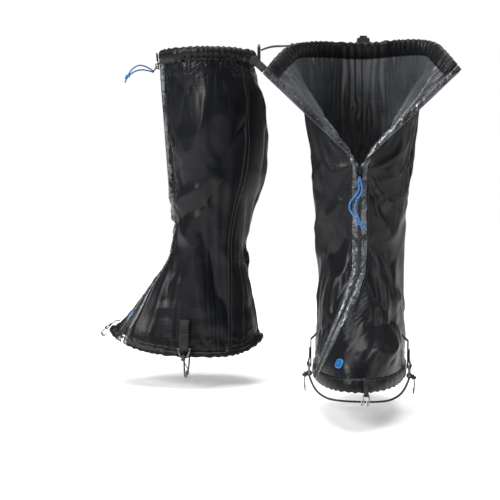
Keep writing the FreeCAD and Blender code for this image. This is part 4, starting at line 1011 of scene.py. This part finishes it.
def zip_teeth(surface, hand, low, high, region, tail, replaced):
    """The coil: a row of small loops across the tapes' inner edges; hand 0 is the closed zip."""
    leg = surface.leg
    v = zip_rows(low, high, 0.82)
    sides = 7
    shares = np.linspace(-1, 1, 7)
    points, faces = [], []
    start = 0
    turn = np.linspace(0, 2 * np.pi, sides, endpoint=False)
    for row in v:
        rows = np.full(len(shares), row)
        near = surface.at(np.zeros(len(shares)), rows, 0.0021)
        far = surface.at(np.full(len(shares), float(ACROSS)), rows, 0.0021)
        out = surface.pick(surface.normals, np.zeros(len(shares)), rows)
        ahead = unit(surface.at(np.zeros(1), np.array((min(row + 1, UP_ROWS - 0.01),)))
                     - surface.at(np.zeros(1), np.array((max(row - 1, 0.0),))))
        if hand == 0:
            middle = (near + far) / 2
            out = unit(out + surface.pick(surface.normals, np.full(len(shares), ACROSS - 0.1),
                                          rows))
            side = unit(np.cross(ahead, out))
            half = 0.0021
            spot = middle + side * (shares[:, None] * half) + ahead * (shares[:, None] * 0.0003)
        else:
            base = near if hand > 0 else far
            out = out if hand > 0 else surface.pick(surface.normals,
                                                    np.full(len(shares), ACROSS - 0.1), rows)
            ahead = unit(surface.at(np.full(1, 0.0 if hand > 0 else ACROSS),
                                    np.array((min(row + 1, UP_ROWS - 0.01),)))
                         - surface.at(np.full(1, 0.0 if hand > 0 else ACROSS),
                                      np.array((max(row - 1, 0.0),))))
            side = unit(np.cross(ahead, out)) * leg.hand * -hand
            spot = base + side * ((shares[:, None] * 1.1 - 0.2) * MM) - out * 0.0024
        spot = spot + out * ((1 - shares[:, None] ** 2) * 0.0008)
        wide = 0.00052 * np.sqrt(np.clip(1.04 - shares ** 4, 0.05, 1))[:, None, None]
        ring = spot[:, None] + wide * (out[:, None] * np.cos(turn)[None, :, None]
                                       + ahead[:, None] * np.sin(turn)[None, :, None])
        points.append(ring.reshape(-1, 3))
        index = np.arange(len(shares) * sides).reshape(len(shares), sides) + start
        after = np.roll(index, -1, axis=1)
        faces.append(np.stack((index[:-1], after[:-1], after[1:], index[1:]), -1).reshape(-1, 4))
        start += len(shares) * sides
    name = "%s_zip_coil_%s%s" % (leg.side, {0: "closed", 1: "a", -1: "b"}[hand], tail)
    piece = add_mesh(name, np.concatenate(points), np.concatenate(faces), (COIL,))
    return settle(piece, leg, region, replaced)


def zips(surface):
    leg = surface.leg
    apex = surface.row(np.array(0.0), APEX - 2).item()
    pieces = []
    for hand, flap in ((1, "medial_flap_zip"), (-1, "lateral_flap_zip")):
        for low, high, region, tail in regions(leg, hand):
            replaced = (("zip_tapes",) if hand > 0 and not tail else ())
            if tail:
                replaced = (flap,)
            pieces.append(zip_tape(surface, hand, low, high, region, tail, replaced))
            if tail:
                pieces.append(zip_teeth(surface, hand, apex + 3, high - 2, region, tail, ()))
    high = UP_ROWS - 3 if leg.closed else apex
    pieces.append(zip_teeth(surface, 0, 2, high, "shell", "", ("zip_chain",)))
    return pieces


def seam_tape(surface, column, low, high, region, name):
    """A felled seam: a low ridge of folded cloth along a panel's edge."""
    leg = surface.leg
    v = np.linspace(low, high, int((high - low) * 0.7) + 2)
    across = np.linspace(-1, 1, 7)
    u = column + across[:, None] * 1.9 + 0 * v[None, :]
    grid_v = np.broadcast_to(v, u.shape)
    lift = 0.85 + 0.75 * (1 - np.abs(across[:, None]) ** 3) + 0.18 * value_noise(grid_v / 4, u, 51)
    top = surface.at(u, grid_v, lift * MM)
    bottom = surface.at(u, grid_v, 0.7 * MM)
    uvs = np.stack((across[:, None] * 0.003 + 0 * v[None, :], grid_v * 0.0018), -1)
    piece = slab(name, top, bottom, uvs, (HEM,), leg.hand < 0)
    return settle(piece, leg, region)


def seam_rows(surface):
    """Which rows each rear seam is made in."""
    top = surface.row(np.array(float(MEDIAL_SEAM)), TOP - 18).item()
    low = surface.row(np.array(float(MEDIAL_SEAM)), 58).item()
    return low, top


def seams(surface):
    low, top = seam_rows(surface)
    side = surface.leg.side
    return [seam_tape(surface, MEDIAL_SEAM, low, top, "shell", side + "_medial_seam"),
            seam_tape(surface, LATERAL_SEAM, low, top, "shell", side + "_lateral_seam")]


def sewn_line(surface, u, v, out):
    u, v = np.broadcast_arrays(np.asarray(u, float), np.asarray(v, float))
    return surface.at(u, v, out), surface.pick(surface.normals, u, v)


def stitching(surface):
    """All rows of stitches: beside the zip, along the seams and along both hems."""
    leg = surface.leg
    side = leg.side
    pieces = []
    by_region = {}
    for hand in (1, -1):
        for low, high, region, tail in regions(leg, hand):
            v = np.arange(max(low, 8.0), min(high, UP_ROWS - 6), 0.5)
            rows = by_region.setdefault((region, tail), [])
            for distance in (0.0062, 0.0088):
                rows.append(sewn_line(surface, surface.beside_zip(v, distance, hand), v, 0.0011
                                      if distance > 0.008 else 0.0021))
    low, top = seam_rows(surface)
    v = np.arange(low, top, 0.5)
    for column in (MEDIAL_SEAM, LATERAL_SEAM):
        for aside in (-1.1, 1.1):
            by_region[("shell", "")].append(sewn_line(surface, column + aside, v, 0.00145))
    edge = surface.beside_zip(np.array(UP_ROWS - 1.0), 0.0095, 1).item()
    spans = (("shell", "", edge, ACROSS - edge),) if leg.closed else (
        ("shell", "", MEDIAL_SEAM, LATERAL_SEAM), ("inner", "_upper", edge, MEDIAL_SEAM),
        ("outer", "_upper", LATERAL_SEAM, ACROSS - edge))
    for region, tail, first, last in spans:
        u = np.arange(first, last, 0.5)
        for gap, out in ((17.2, 0.0026), (4.2, 0.0036)):
            by_region[(region, tail)].append(sewn_line(surface, u, surface.row(u, TOP - gap), out))
    u = np.arange(9.0, ACROSS - 9.0, 0.5)
    rise = surface.pick(surface.height[..., None], u, u * 0)[:, 0]
    by_region[("shell", "")].append(sewn_line(surface, u, surface.row(u, rise + 11.6), 0.0022))
    for (region, tail), rows in by_region.items():
        name = "%s_stitches_%s" % (side, region)
        pieces.append(settle(stitch_row(rows, (THREAD,), name), leg, region))
    return pieces


def badge(surface):
    """A small plain badge: a rounded shield with a raised edge and a plain ring on it."""
    leg = surface.leg
    centre = np.mean([np.array(corner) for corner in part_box(leg.side + "_emblem")], axis=0)
    away = np.linalg.norm(surface.points - centre, axis=-1)
    column, line = np.unravel_index(np.argmin(away), away.shape)
    along = (surface.points[column + 2, line] - surface.points[column - 2, line]) / 4
    upward = (surface.points[column, line + 2] - surface.points[column, line - 2]) / 4
    normal = surface.normals[column, line]
    climb = unit(np.array((0, 0, 1.0)) - normal[2] * normal)
    across = unit(along - (along @ climb) * climb)
    ways = np.linalg.pinv(np.stack((along, upward), -1)) @ np.stack((across, climb), -1)
    parts = []
    for name, size, out, material, slot, replaced in (
            ("badge", 1.0, 1.5, BADGE, "emblem", ("emblem",)),
            ("badge_ring", 0.62, 1.85, BADGE_MARK, "emblem", ()),
            ("badge_middle", 0.42, 2.0, BADGE, "emblem", ())):
        turn = np.linspace(0, 2 * np.pi, 49)
        share = np.array((0.0, 0.5, 0.86, 0.96, 1.0))
        x = np.sign(np.cos(turn)) * np.abs(np.cos(turn)) ** 0.72
        y = np.sign(np.sin(turn)) * np.abs(np.sin(turn)) ** 0.72
        wide = (5.6 * size * x)[:, None] * share * MM
        tall = (5.2 * size * y)[:, None] * share
        u = column + wide * ways[0, 0] + tall * MM * ways[0, 1]
        v = line + wide * ways[1, 0] + tall * MM * ways[1, 1]
        lift = (out + np.array((0, 0, 0.28, 0.2, -0.25)))[None, :] * MM + 0 * u
        top = surface.at(u, v, lift)
        bottom = surface.at(u, v, 0.0008)
        uvs = np.stack((wide, tall * MM), -1)
        piece = slab("%s_%s" % (leg.side, name), top, bottom, uvs, (material,), leg.hand > 0)
        parts.append(settle(piece, leg, "shell", replaced))
    return parts

# ---------------------------------------------------------------- webbing and cords


def node_points(name):
    mesh = NODES[name].data
    points = np.zeros(len(mesh.vertices) * 3)
    mesh.vertices.foreach_get("co", points)
    return points.reshape(-1, 3)


def flat_way(name, away_from):
    """The direction of a plate's largest flat face that looks away from a point."""
    mesh = NODES[name].data
    totals = {}
    middle = node_points(name).mean(axis=0)
    for face in mesh.polygons:
        key = tuple(round(value, 2) + 0.0 for value in face.normal)
        totals.setdefault(key, [0.0, Vector((0, 0, 0))])
        totals[key][0] += face.area
        totals[key][1] += face.normal * face.area
    for _, total in sorted(totals.values(), key=lambda entry: -entry[0]):
        way = unit(np.array(total))
        if np.dot(way, middle - away_from) > 0:
            return way
    return unit(middle - away_from)


class Seat:
    """A node's own frame: x along it, z off the cloth, with the node's extents in it."""

    def __init__(self, name, along, away_from):
        self.z = flat_way(name, np.asarray(away_from))
        self.x = unit(np.asarray(along, float) - self.z * np.dot(along, self.z))
        self.y = np.cross(self.z, self.x)
        points = node_points(name)
        local = np.stack((points @ self.x, points @ self.y, points @ self.z), -1)
        self.low, self.high = local.min(axis=0), local.max(axis=0)

    def at(self, x, y, z):
        """A point: x from the root, y from the middle and z from the lower face, in metres."""
        middle = (self.low[1] + self.high[1]) / 2
        x, y, z = np.broadcast_arrays(np.asarray(x, float), np.asarray(y, float),
                                      np.asarray(z, float))
        return ((self.low[0] + x)[..., None] * self.x + (middle + y)[..., None] * self.y
                + (self.low[2] + z)[..., None] * self.z)


def leg_middle(leg, height):
    return leg.to_world(np.array((0.0, 0.0, height)))


def strap(name, seat, path, width, thick, taper=None):
    """Webbing along a path of (x, z) in its seat; taper gives the half width's share."""
    path = np.asarray(path, float)
    steps = np.linalg.norm(np.diff(path, axis=0), axis=-1)
    arc = np.concatenate(((0,), np.cumsum(steps)))
    way = unit(np.gradient(path, axis=0))
    side = np.stack((-way[:, 1], way[:, 0]), -1)
    half, deep = width / 2, thick / 2
    soft = min(0.0005, deep)
    section = ((-half, -deep * 0.45), (-half + soft, -deep), (-half * 0.5, -deep), (0, -deep),
               (half * 0.5, -deep), (half - soft, -deep), (half, -deep * 0.45), (half, deep * 0.45),
               (half - soft, deep), (half * 0.5, deep), (0, deep), (-half * 0.5, deep),
               (-half + soft, deep), (-half, deep * 0.45))
    shares = np.ones(len(path)) if taper is None else np.asarray(taper)
    points, uvs = [], []
    for i in range(len(path)):
        for y, off in section:
            spot = path[i] + side[i] * off
            points.append(seat.at(spot[0], y * shares[i], spot[1]))
            uvs.append((y * shares[i], arc[i]))
    sides = len(section)
    index = np.arange(len(path) * sides).reshape(len(path), sides)
    near = np.roll(index, -1, axis=1)
    faces = [tuple(f) for f in np.stack((index[:-1], near[:-1], near[1:], index[1:]),
                                        -1).reshape(-1, 4)]
    faces += [tuple(index[0])[::-1], tuple(index[-1])]
    return add_mesh(name, points, faces, (WEB,), uvs)


def box_stitch(name, seat, low, high, half, lift):
    """A sewn box with a cross in it, on a strap."""
    corners = ((low, -half), (high, -half), (high, half), (low, half), (low, -half), (high, half))
    lines = []
    pairs = list(zip(corners[:-1], corners[1:])) + [((high, -half), (low, half))]
    for (x0, y0), (x1, y1) in pairs:
        share = np.linspace(0, 1, 8)
        points = seat.at(x0 + (x1 - x0) * share, y0 + (y1 - y0) * share, lift)
        lines.append((points, np.repeat(seat.z[None], 8, 0)))
    return stitch_row(lines, (THREAD,), name, pitch=0.0021, length=0.0016, radius=0.00022)


def hung_tab(leg, node, hole, width):
    """A strap that goes down, round a bar and up again, sewn to itself."""
    seat = Seat(node, (0, 0, -1) if "instep" in node else hook_down(leg), leg_middle(leg, 80))
    length = seat.high[0] - seat.low[0]
    thick = 0.0012
    eye = hole + 0.0012
    turn = np.linspace(-90, 150, 17) * math.pi / 180
    round_x = length - eye + np.cos(turn) * (eye - thick / 2)
    round_z = eye + np.sin(turn) * (eye - thick / 2)
    root = -0.0056 if "instep" in node else -0.0042
    path = [(-0.007, root), (-0.0055, root * 0.9), (-0.003, root * 0.5)]
    path += [(x, thick / 2) for x in np.linspace(0, length - eye, 9)[:-1]]
    path += list(zip(round_x, round_z))
    back = np.linspace(0, 1, 6)[1:]
    last_x, last_z = path[-1]
    stop = length * 0.32
    path += [(last_x + (stop - last_x) * t, last_z + (thick * 1.55 - last_z) * min(1.0, t * 2.2))
             for t in back]
    piece = strap("%s_strap" % node, seat, path, width, thick)
    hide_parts(node)
    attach(piece, leg.side + "_shell")
    sewn = box_stitch("%s_box_stitch" % node, seat, length * 0.36, length - 2 * eye - 0.0015,
                      width / 2 - 0.0014, thick * 2.15)
    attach(sewn, leg.side + "_shell")
    return [piece, sewn]


def hook_angle(leg):
    return 0.0 if leg.closed else -10.0


def hook_down(leg):
    turn = hook_angle(leg)
    low = hem_height(leg, np.array(turn)) + 11
    ends = leg.to_world(np.stack((sleeve(leg, np.array(turn), low - 1),
                                  sleeve(leg, np.array(turn), low + 1))))
    return unit(ends[0] - ends[1])


def straps(leg):
    pieces = []
    for place in ("medial", "lateral"):
        pieces += hung_tab(leg, "%s_%s_instep_tab" % (leg.side, place), 0.00145, 0.0118)
    pieces += hung_tab(leg, leg.side + "_lace_hook_tab", 0.00115, 0.0044)
    return pieces


def closure(surface):
    """The closing tab with a sewn, rounded end, and the pile patch it presses on."""
    leg = surface.leg
    node = leg.side + "_closure_tab"
    if leg.closed:
        along, body = (0.0, 1.0, 0.0), "right_closure"
        inside = leg_middle(leg, 430)
    else:
        along, body = (-0.709, 0.145, 0.690), "left_closure"
        inside = leg_middle(leg, 300) + np.array((0.0, 0.35, -0.2))
    seat = Seat(node, along, inside)
    length = seat.high[0] - seat.low[0]
    width = seat.high[1] - seat.low[1]
    share = np.linspace(0, 1, 34)
    x = share * length
    curl = np.clip((share - 0.3) / 0.7, 0, 1) ** 2 * 0.0011
    near = np.clip((x - (length - width * 0.46)) / (width * 0.46), 0, 1)
    taper = np.sqrt(np.clip(1 - near ** 2, 0.02, 1))
    path = np.stack((x, 0.0008 + curl + 0.0002 * np.sin(share * 9)), -1)
    piece = strap(leg.side + "_closing_tab", seat, path, width * 0.97, 0.0014, taper)
    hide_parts(node)
    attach(piece, body)
    turn = np.linspace(0, 2 * np.pi, 60)
    ring_x = length * 0.53 + np.sign(np.cos(turn)) * np.abs(np.cos(turn)) ** 0.5 * length * 0.36
    ring_y = np.sign(np.sin(turn)) * np.abs(np.sin(turn)) ** 0.5 * (width / 2 - 0.0016)
    lift = 0.0017 + np.interp(ring_x / length, share, curl)
    line = (seat.at(ring_x, ring_y, lift), np.repeat(seat.z[None], 60, 0))
    sewn = stitch_row((line,), (THREAD,), leg.side + "_closing_tab_stitches", radius=0.00024)
    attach(sewn, body)
    return [piece, sewn, patch(surface)]


def patch(surface):
    """The pile patch: a thin pad with a fuzzy face."""
    leg = surface.leg
    top = surface.row(np.array(float(ACROSS - 4)), TOP - (2.5 if leg.closed else 1.5)).item()
    low = surface.row(np.array(float(ACROSS - 4)), TOP - 12).item()
    v = np.linspace(low, top, 14)
    distance = np.linspace(0.0088, 0.0196, 14)[:, None] * np.ones(14)
    grid_v = np.broadcast_to(v, distance.shape)
    u = surface.beside_zip(grid_v, distance, -1)
    fuzz = 0.00022 * value_noise(u * 3.1, grid_v * 3.3, 61)
    if leg.closed:
        upper, under = 0.0048 + fuzz, 0.0036
    else:
        upper, under = -0.0036 + fuzz, -0.0026
    uvs = np.stack((distance, grid_v * 0.0018), -1)
    flip = leg.hand > 0 if leg.closed else leg.hand < 0
    piece = slab(leg.side + "_pile_patch", surface.at(u, grid_v, upper),
                 surface.at(u, grid_v, under),
                 uvs, (PATCH,), flip)
    return settle(piece, leg, "outer", ("closure_patch",))


def cord_curve(name, points, radius, material):
    curve = bpy.data.curves.new(name, "CURVE")
    curve.dimensions = "3D"
    curve.bevel_depth = radius
    curve.bevel_resolution = 4
    curve.resolution_u = 14
    spline = curve.splines.new("NURBS")
    spline.points.add(len(points) - 1)
    for entry, spot in zip(spline.points, points):
        entry.co = (spot[0], spot[1], spot[2], 1.0)
    spline.order_u = 3
    spline.use_endpoint_u = True
    curve.materials.append(material)
    piece = bpy.data.objects.new(name, curve)
    bpy.context.scene.collection.objects.link(piece)
    return piece


def tied_knot(name, middle, along, size, radius, material):
    """A pulled-tight overhand knot: a trefoil of the cord's own thickness."""
    along = unit(np.asarray(along, float))
    side = unit(np.cross(along, (0.3, 0.5, 0.81)))
    up = np.cross(along, side)
    t = np.linspace(0, 2 * np.pi, 72, endpoint=False)
    x = (np.sin(t) + 1.6 * np.sin(2 * t)) * size * 0.30
    y = (np.cos(t) - 1.6 * np.cos(2 * t)) * size * 0.30
    z = -np.sin(3 * t) * size * 0.48
    points = middle + x[:, None] * side + z[:, None] * up * 0.8 + y[:, None] * along * 1.15
    return tube(name, points, radius * 0.92, (material,), 10, closed=True)


def eye_middle(leg):
    """The middle of the puller's eye, and the puller's direction, in leg coordinates."""
    height, tilt = (422.6, 38.0) if leg.closed else (281.0, 8.0)
    ends = sleeve(leg, np.zeros(2), np.array((height - 1, height + 1)), 3.8)
    down = unit(ends[0] - ends[1])
    out = np.array((-down[2], 0.0, down[0]))
    seat = sleeve(leg, np.array(0.0), np.array(height), 3.8) + out * 2.8
    turn = math.radians(tilt)
    way = down * math.cos(turn) + out * math.sin(turn)
    return seat + way * 7.9, way


# Steps of each pull cord from the puller's eye, and how far its two strands lie apart.
PULL_ROUTE = {
    "right": ((3, 4, 0.5), (10, 14, 3), (18, 26.5, 1.5), (25, 37, -4.5), (27.5, 41, -9)),
    "left": ((2, 0, -5), (1.6, -2.2, -12), (1.2, 1, -19), (0.6, 7.2, -27), (1.2, 8.6, -35),
             (1.6, 4.4, -43), (2, 0.6, -48.5)),
}
PULL_SPREAD = {"right": (0, 0, 1), "left": (0, 1, 0)}
PULL_GAP = {"right": (1.3, 2.6, 3.2, 2.4, 1.3), "left": (1.3, 1.6, 2.4, 3.2, 3.2, 2.2, 1.3)}
PULL_RADIUS = 0.00095


def pull(leg):
    """The doubled pull cord, its loop through the puller, its knot and two short tails."""
    side = leg.side
    body = side + "_puller"
    route = np.array(PULL_ROUTE[side], float)
    spread = np.array(PULL_SPREAD[side], float)
    middle, way = eye_middle(leg)
    pieces = []
    strands = []
    for hand in (1, -1):
        gaps = np.array(PULL_GAP[side])[:, None] * spread * hand
        strands.append(leg.to_world(middle + route + gaps))
    along = unit(route[-1] - route[-2])
    end = middle + route[-1]
    bow = np.array([strands[0][0], strands[0][0] * 0.5 + leg.to_world(middle) * 0.5,
                    leg.to_world(middle - way * 0.2),
                    strands[1][0] * 0.5 + leg.to_world(middle) * 0.5,
                    strands[1][0]])
    loop = tube(side + "_pull_loop", smooth_line(bow, 26), PULL_RADIUS, (BLUE_CORD,), 10)
    knot = tied_knot(side + "_pull_end_knot", leg.to_world(end + along * 3.2),
                     leg.to_world(end + along) - leg.to_world(end), 0.0031, PULL_RADIUS, BLUE_CORD)
    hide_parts(side + "_pull_knot")
    tails = []
    for hand in (1, -1):
        aside = spread * hand
        line = np.array([end + along * 4.5 + aside * 0.6, end + along * 8 + aside * 1.5,
                         end + along * 11.2 + aside * 2.6 + np.array((0, 0, -0.6))])
        tails.append(tube("%s_pull_tail_%s" % (side, "a" if hand > 0 else "b"),
                          smooth_line(leg.to_world(line), 12), PULL_RADIUS * 0.95, (BLUE_CORD,),
                          10))
    extras = [loop, knot] + tails
    for piece in extras:
        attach(piece, body)
    for number, points in enumerate(strands):
        name = "%s_pull_strand_%s" % (side, "ab"[number])
        piece = cord_curve(name, points, PULL_RADIUS, BLUE_CORD)
        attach(piece, body)
        if number == 0:
            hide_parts(side + "_pull_cord")
        pieces.append(piece)
    return pieces + extras


DRAW_ROUTE = ((0, 0), (6, 2.4), (13, 4.4), (21, 5.4), (29, 5.2), (37, 5.8))
DRAW_GAP = (1.5, 2.2, 3.0, 3.0, 2.2, 1.6)
DRAW_RADIUS = 0.001


def drawcord(leg):
    """The doubled end of the drawcord behind the calf, its knot and the small loop beyond."""
    side = leg.side
    body = side + "_shell"
    reach = float(leg.reach(np.array(429.0))[1]) + 2.7 + 4.2 + 0.6
    start = np.array((-reach, 0.0, TOP + 3.5))
    strands = []
    for hand in (1, -1):
        steps = np.array([(-out, hand * gap, rise) for (out, rise),
                          gap in zip(DRAW_ROUTE, DRAW_GAP)])
        strands.append(leg.to_world(start + steps))
    end = start + np.array((-37.0, 0.0, 5.8))
    along = unit(np.array((-1.0, 0.0, 0.08)))
    tip = end + along * 3.6
    knot = tied_knot(side + "_draw_knot", leg.to_world(tip),
                     leg.to_world(tip + along) - leg.to_world(tip),
                     0.0034, DRAW_RADIUS, CORD)
    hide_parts(side + "_drawcord_knot")
    bow = np.array(((2.6, -0.7, 0), (5.5, -2.0, 0.6), (8.6, -2.6, 1.4), (10.8, -1.0, 1.8),
                    (10.6, 1.2, 1.5), (8.2, 2.5, 0.8), (5.2, 1.8, 0.2), (2.6, 0.7, 0)))
    bow = tip + np.stack((-bow[:, 0], bow[:, 1], bow[:, 2]), -1)
    loop = tube(side + "_draw_end_loop", smooth_line(leg.to_world(bow), 40), DRAW_RADIUS * 0.9,
                (CORD,), 10)
    extras = [knot, loop]
    for piece in extras:
        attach(piece, body)
    pieces = list(extras)
    for number, points in enumerate(strands):
        piece = cord_curve("%s_draw_strand_%s" % (side, "ab"[number]), points, DRAW_RADIUS, CORD)
        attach(piece, body)
        if number == 0:
            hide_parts(side + "_drawcord")
        pieces.append(piece)
    return pieces


INSTEP_ROUTE = ((0, 0), (4, 13), (14, 24.5), (31, 30.5))
INSTEP_RADIUS = 0.00125


def ring_bar(leg, place):
    """The middle of a ring's lower bar, in leg coordinates."""
    low, high = (np.array(corner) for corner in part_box("%s_%s_ring" % (leg.side, place)))
    middle = (low + high) / 2 / MM
    flat = (middle[:2] - leg.place) @ leg.turn
    return np.array((flat[0], flat[1] * leg.hand, low[2] / MM + 1.1))


def instep(leg):
    """The cord under the foot, with its knots round the rings and its loose tails."""
    side = leg.side
    body = side + "_shell"
    rows, extras = [], []
    for hand, place in ((1, "medial"), (-1, "lateral")):
        bar = ring_bar(leg, place)
        start = bar + np.array((0, 0, -2.2))
        rows.append([start + np.array((0, -hand * step, -drop)) for step, drop in INSTEP_ROUTE])
        out = unit(np.array((bar[0] * 0.3, bar[1], 0.0)))
        turn = np.linspace(0, 2 * np.pi, 30, endpoint=False)[:, None]
        wrap = bar + 2.5 * (out * np.cos(turn) + np.array((0, 0, 1.0)) * np.sin(turn))
        wrap[:, 0] += 0.7 * np.sin(turn[:, 0])
        extras.append(tube("%s_%s_cord_wrap" % (side, place), leg.to_world(wrap), INSTEP_RADIUS,
                           (CORD,), 10, closed=True))
        tie = bar + out * 5.0 + np.array((0, 0, -1.6))
        knot = tied_knot("%s_%s_cord_knot" % (side, place), leg.to_world(tie),
                         leg.to_world(tie + out * 0.2 + (0, 0, -1)) - leg.to_world(tie), 0.0027,
                         INSTEP_RADIUS, CORD)
        if hand > 0:
            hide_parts(side + "_instep_knots")
        extras.append(knot)
        tail = np.array((tie + (-1.0, 0, -2), tie + (-3.5, 0, -7) + out, tie + (-6.0, 0, -12) + out,
                         tie + (-7.0, 0, -17) + out * 0.5, tie + (-5.4, 0, -20),
                         tie + (-3.9, 0, -17.5),
                         tie + (-5.3, 0, -14.2)))
        extras.append(tube("%s_%s_cord_tail" % (side, place), smooth_line(leg.to_world(tail), 40),
                           0.0007, (CORD,), 8))
    points = leg.to_world(np.array(rows[0] + rows[1][::-1]))
    for piece in extras:
        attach(piece, body)
    piece = cord_curve(side + "_foot_cord", points, INSTEP_RADIUS, CORD)
    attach(piece, body)
    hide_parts(side + "_instep_cord")
    return [piece] + extras


def hardware(leg):
    """The metal and plastic pieces keep their CAD shape and get their finish."""
    for node, material in (("zip_slider", SLIDER), ("zip_puller", PULLER),
                           ("cord_lock_housing", LOCK),
                           ("cord_lock_button", BUTTON), ("cord_lock_spring", SPRING),
                           ("medial_ring", RING), ("lateral_ring", RING), ("lace_hook", HOOK)):
        shape = NODES[leg.side + "_" + node]
        shape.data.materials.clear()
        shape.data.materials.append(material)


# ---------------------------------------------------------------- the pair

for leg in (RIGHT, LEFT):
    surface = make_surface(leg)
    cloth = cloth_pieces(surface)
    trims = hems(surface) + zips(surface) + seams(surface) + stitching(surface) + badge(surface)
    trims += closure(surface)
    straps(leg)
    pull(leg)
    drawcord(leg)
    instep(leg)
    hardware(leg)

# ---------------------------------------------------------------- stage, light and camera


def plane(name, size, material):
    half = size / 2
    piece = add_mesh(name, ((-half, -half, 0), (half, -half, 0), (half, half, 0), (-half, half, 0)),
                     ((0, 1, 2, 3),), (material,))
    return piece


FLOOR = Finish("pale_floor", (0.88, 0.88, 0.88), 0.8, Specular_IOR_Level=0.1,
               Emission_Color=(1.0, 1.0, 1.0, 1.0), Emission_Strength=0.24).material
plane("floor", 12.0, FLOOR)


def softbox(name, place, target, size, power, color=(1.0, 1.0, 1.0)):
    data = bpy.data.lights.new(name, "AREA")
    data.shape = "RECTANGLE"
    data.size, data.size_y = size
    data.energy = power
    data.color = color
    lamp = bpy.data.objects.new(name, data)
    lamp.location = place
    lamp.rotation_euler = (Vector(target) - Vector(place)).to_track_quat("-Z", "Y").to_euler()
    bpy.context.scene.collection.objects.link(lamp)


MIDDLE = (0.09, -0.07, 0.25)
softbox("key", (-1.2, -1.1, 1.3), MIDDLE, (0.34, 0.8), 33)
softbox("fill", (1.5, -0.7, 0.7), MIDDLE, (0.35, 1.0), 6)
softbox("top", (0.1, -0.3, 1.9), MIDDLE, (1.2, 0.4), 9)
softbox("back", (0.4, 1.6, 0.9), MIDDLE, (1.2, 1.2), 6)
sun = bpy.data.lights.new("overhead", "SUN")
sun.energy = 2.7
sun.angle = math.radians(50)
bpy.context.scene.collection.objects.link(bpy.data.objects.new("overhead", sun))

bpy.context.scene.view_settings.view_transform = "Standard"
world = bpy.data.worlds.new("studio")
bpy.context.scene.world = world
world.use_nodes = True
shade = world.node_tree
back = shade.nodes["Background"]
back.inputs["Color"].default_value = (1, 1, 1, 1)
back.inputs["Strength"].default_value = 0.09
seen = shade.nodes.new("ShaderNodeBackground")
seen.inputs["Color"].default_value = (1, 1, 1, 1)
seen.inputs["Strength"].default_value = 1.0
path = shade.nodes.new("ShaderNodeLightPath")
mix = shade.nodes.new("ShaderNodeMixShader")
shade.links.new(path.outputs["Is Camera Ray"], mix.inputs["Fac"])
shade.links.new(back.outputs["Background"], mix.inputs[1])
shade.links.new(seen.outputs["Background"], mix.inputs[2])
shade.links.new(mix.outputs["Shader"], shade.nodes["World Output"].inputs["Surface"])

camera_data = bpy.data.cameras.new("camera")
camera_data.lens = 68.8
camera_data.sensor_width = 36.0
camera = bpy.data.objects.new("camera", camera_data)
camera.location = (0.054, -1.280, 0.260)
camera.rotation_euler = (math.radians(90 - 3.65), 0, 0)
bpy.context.scene.collection.objects.link(camera)
bpy.context.scene.camera = camera
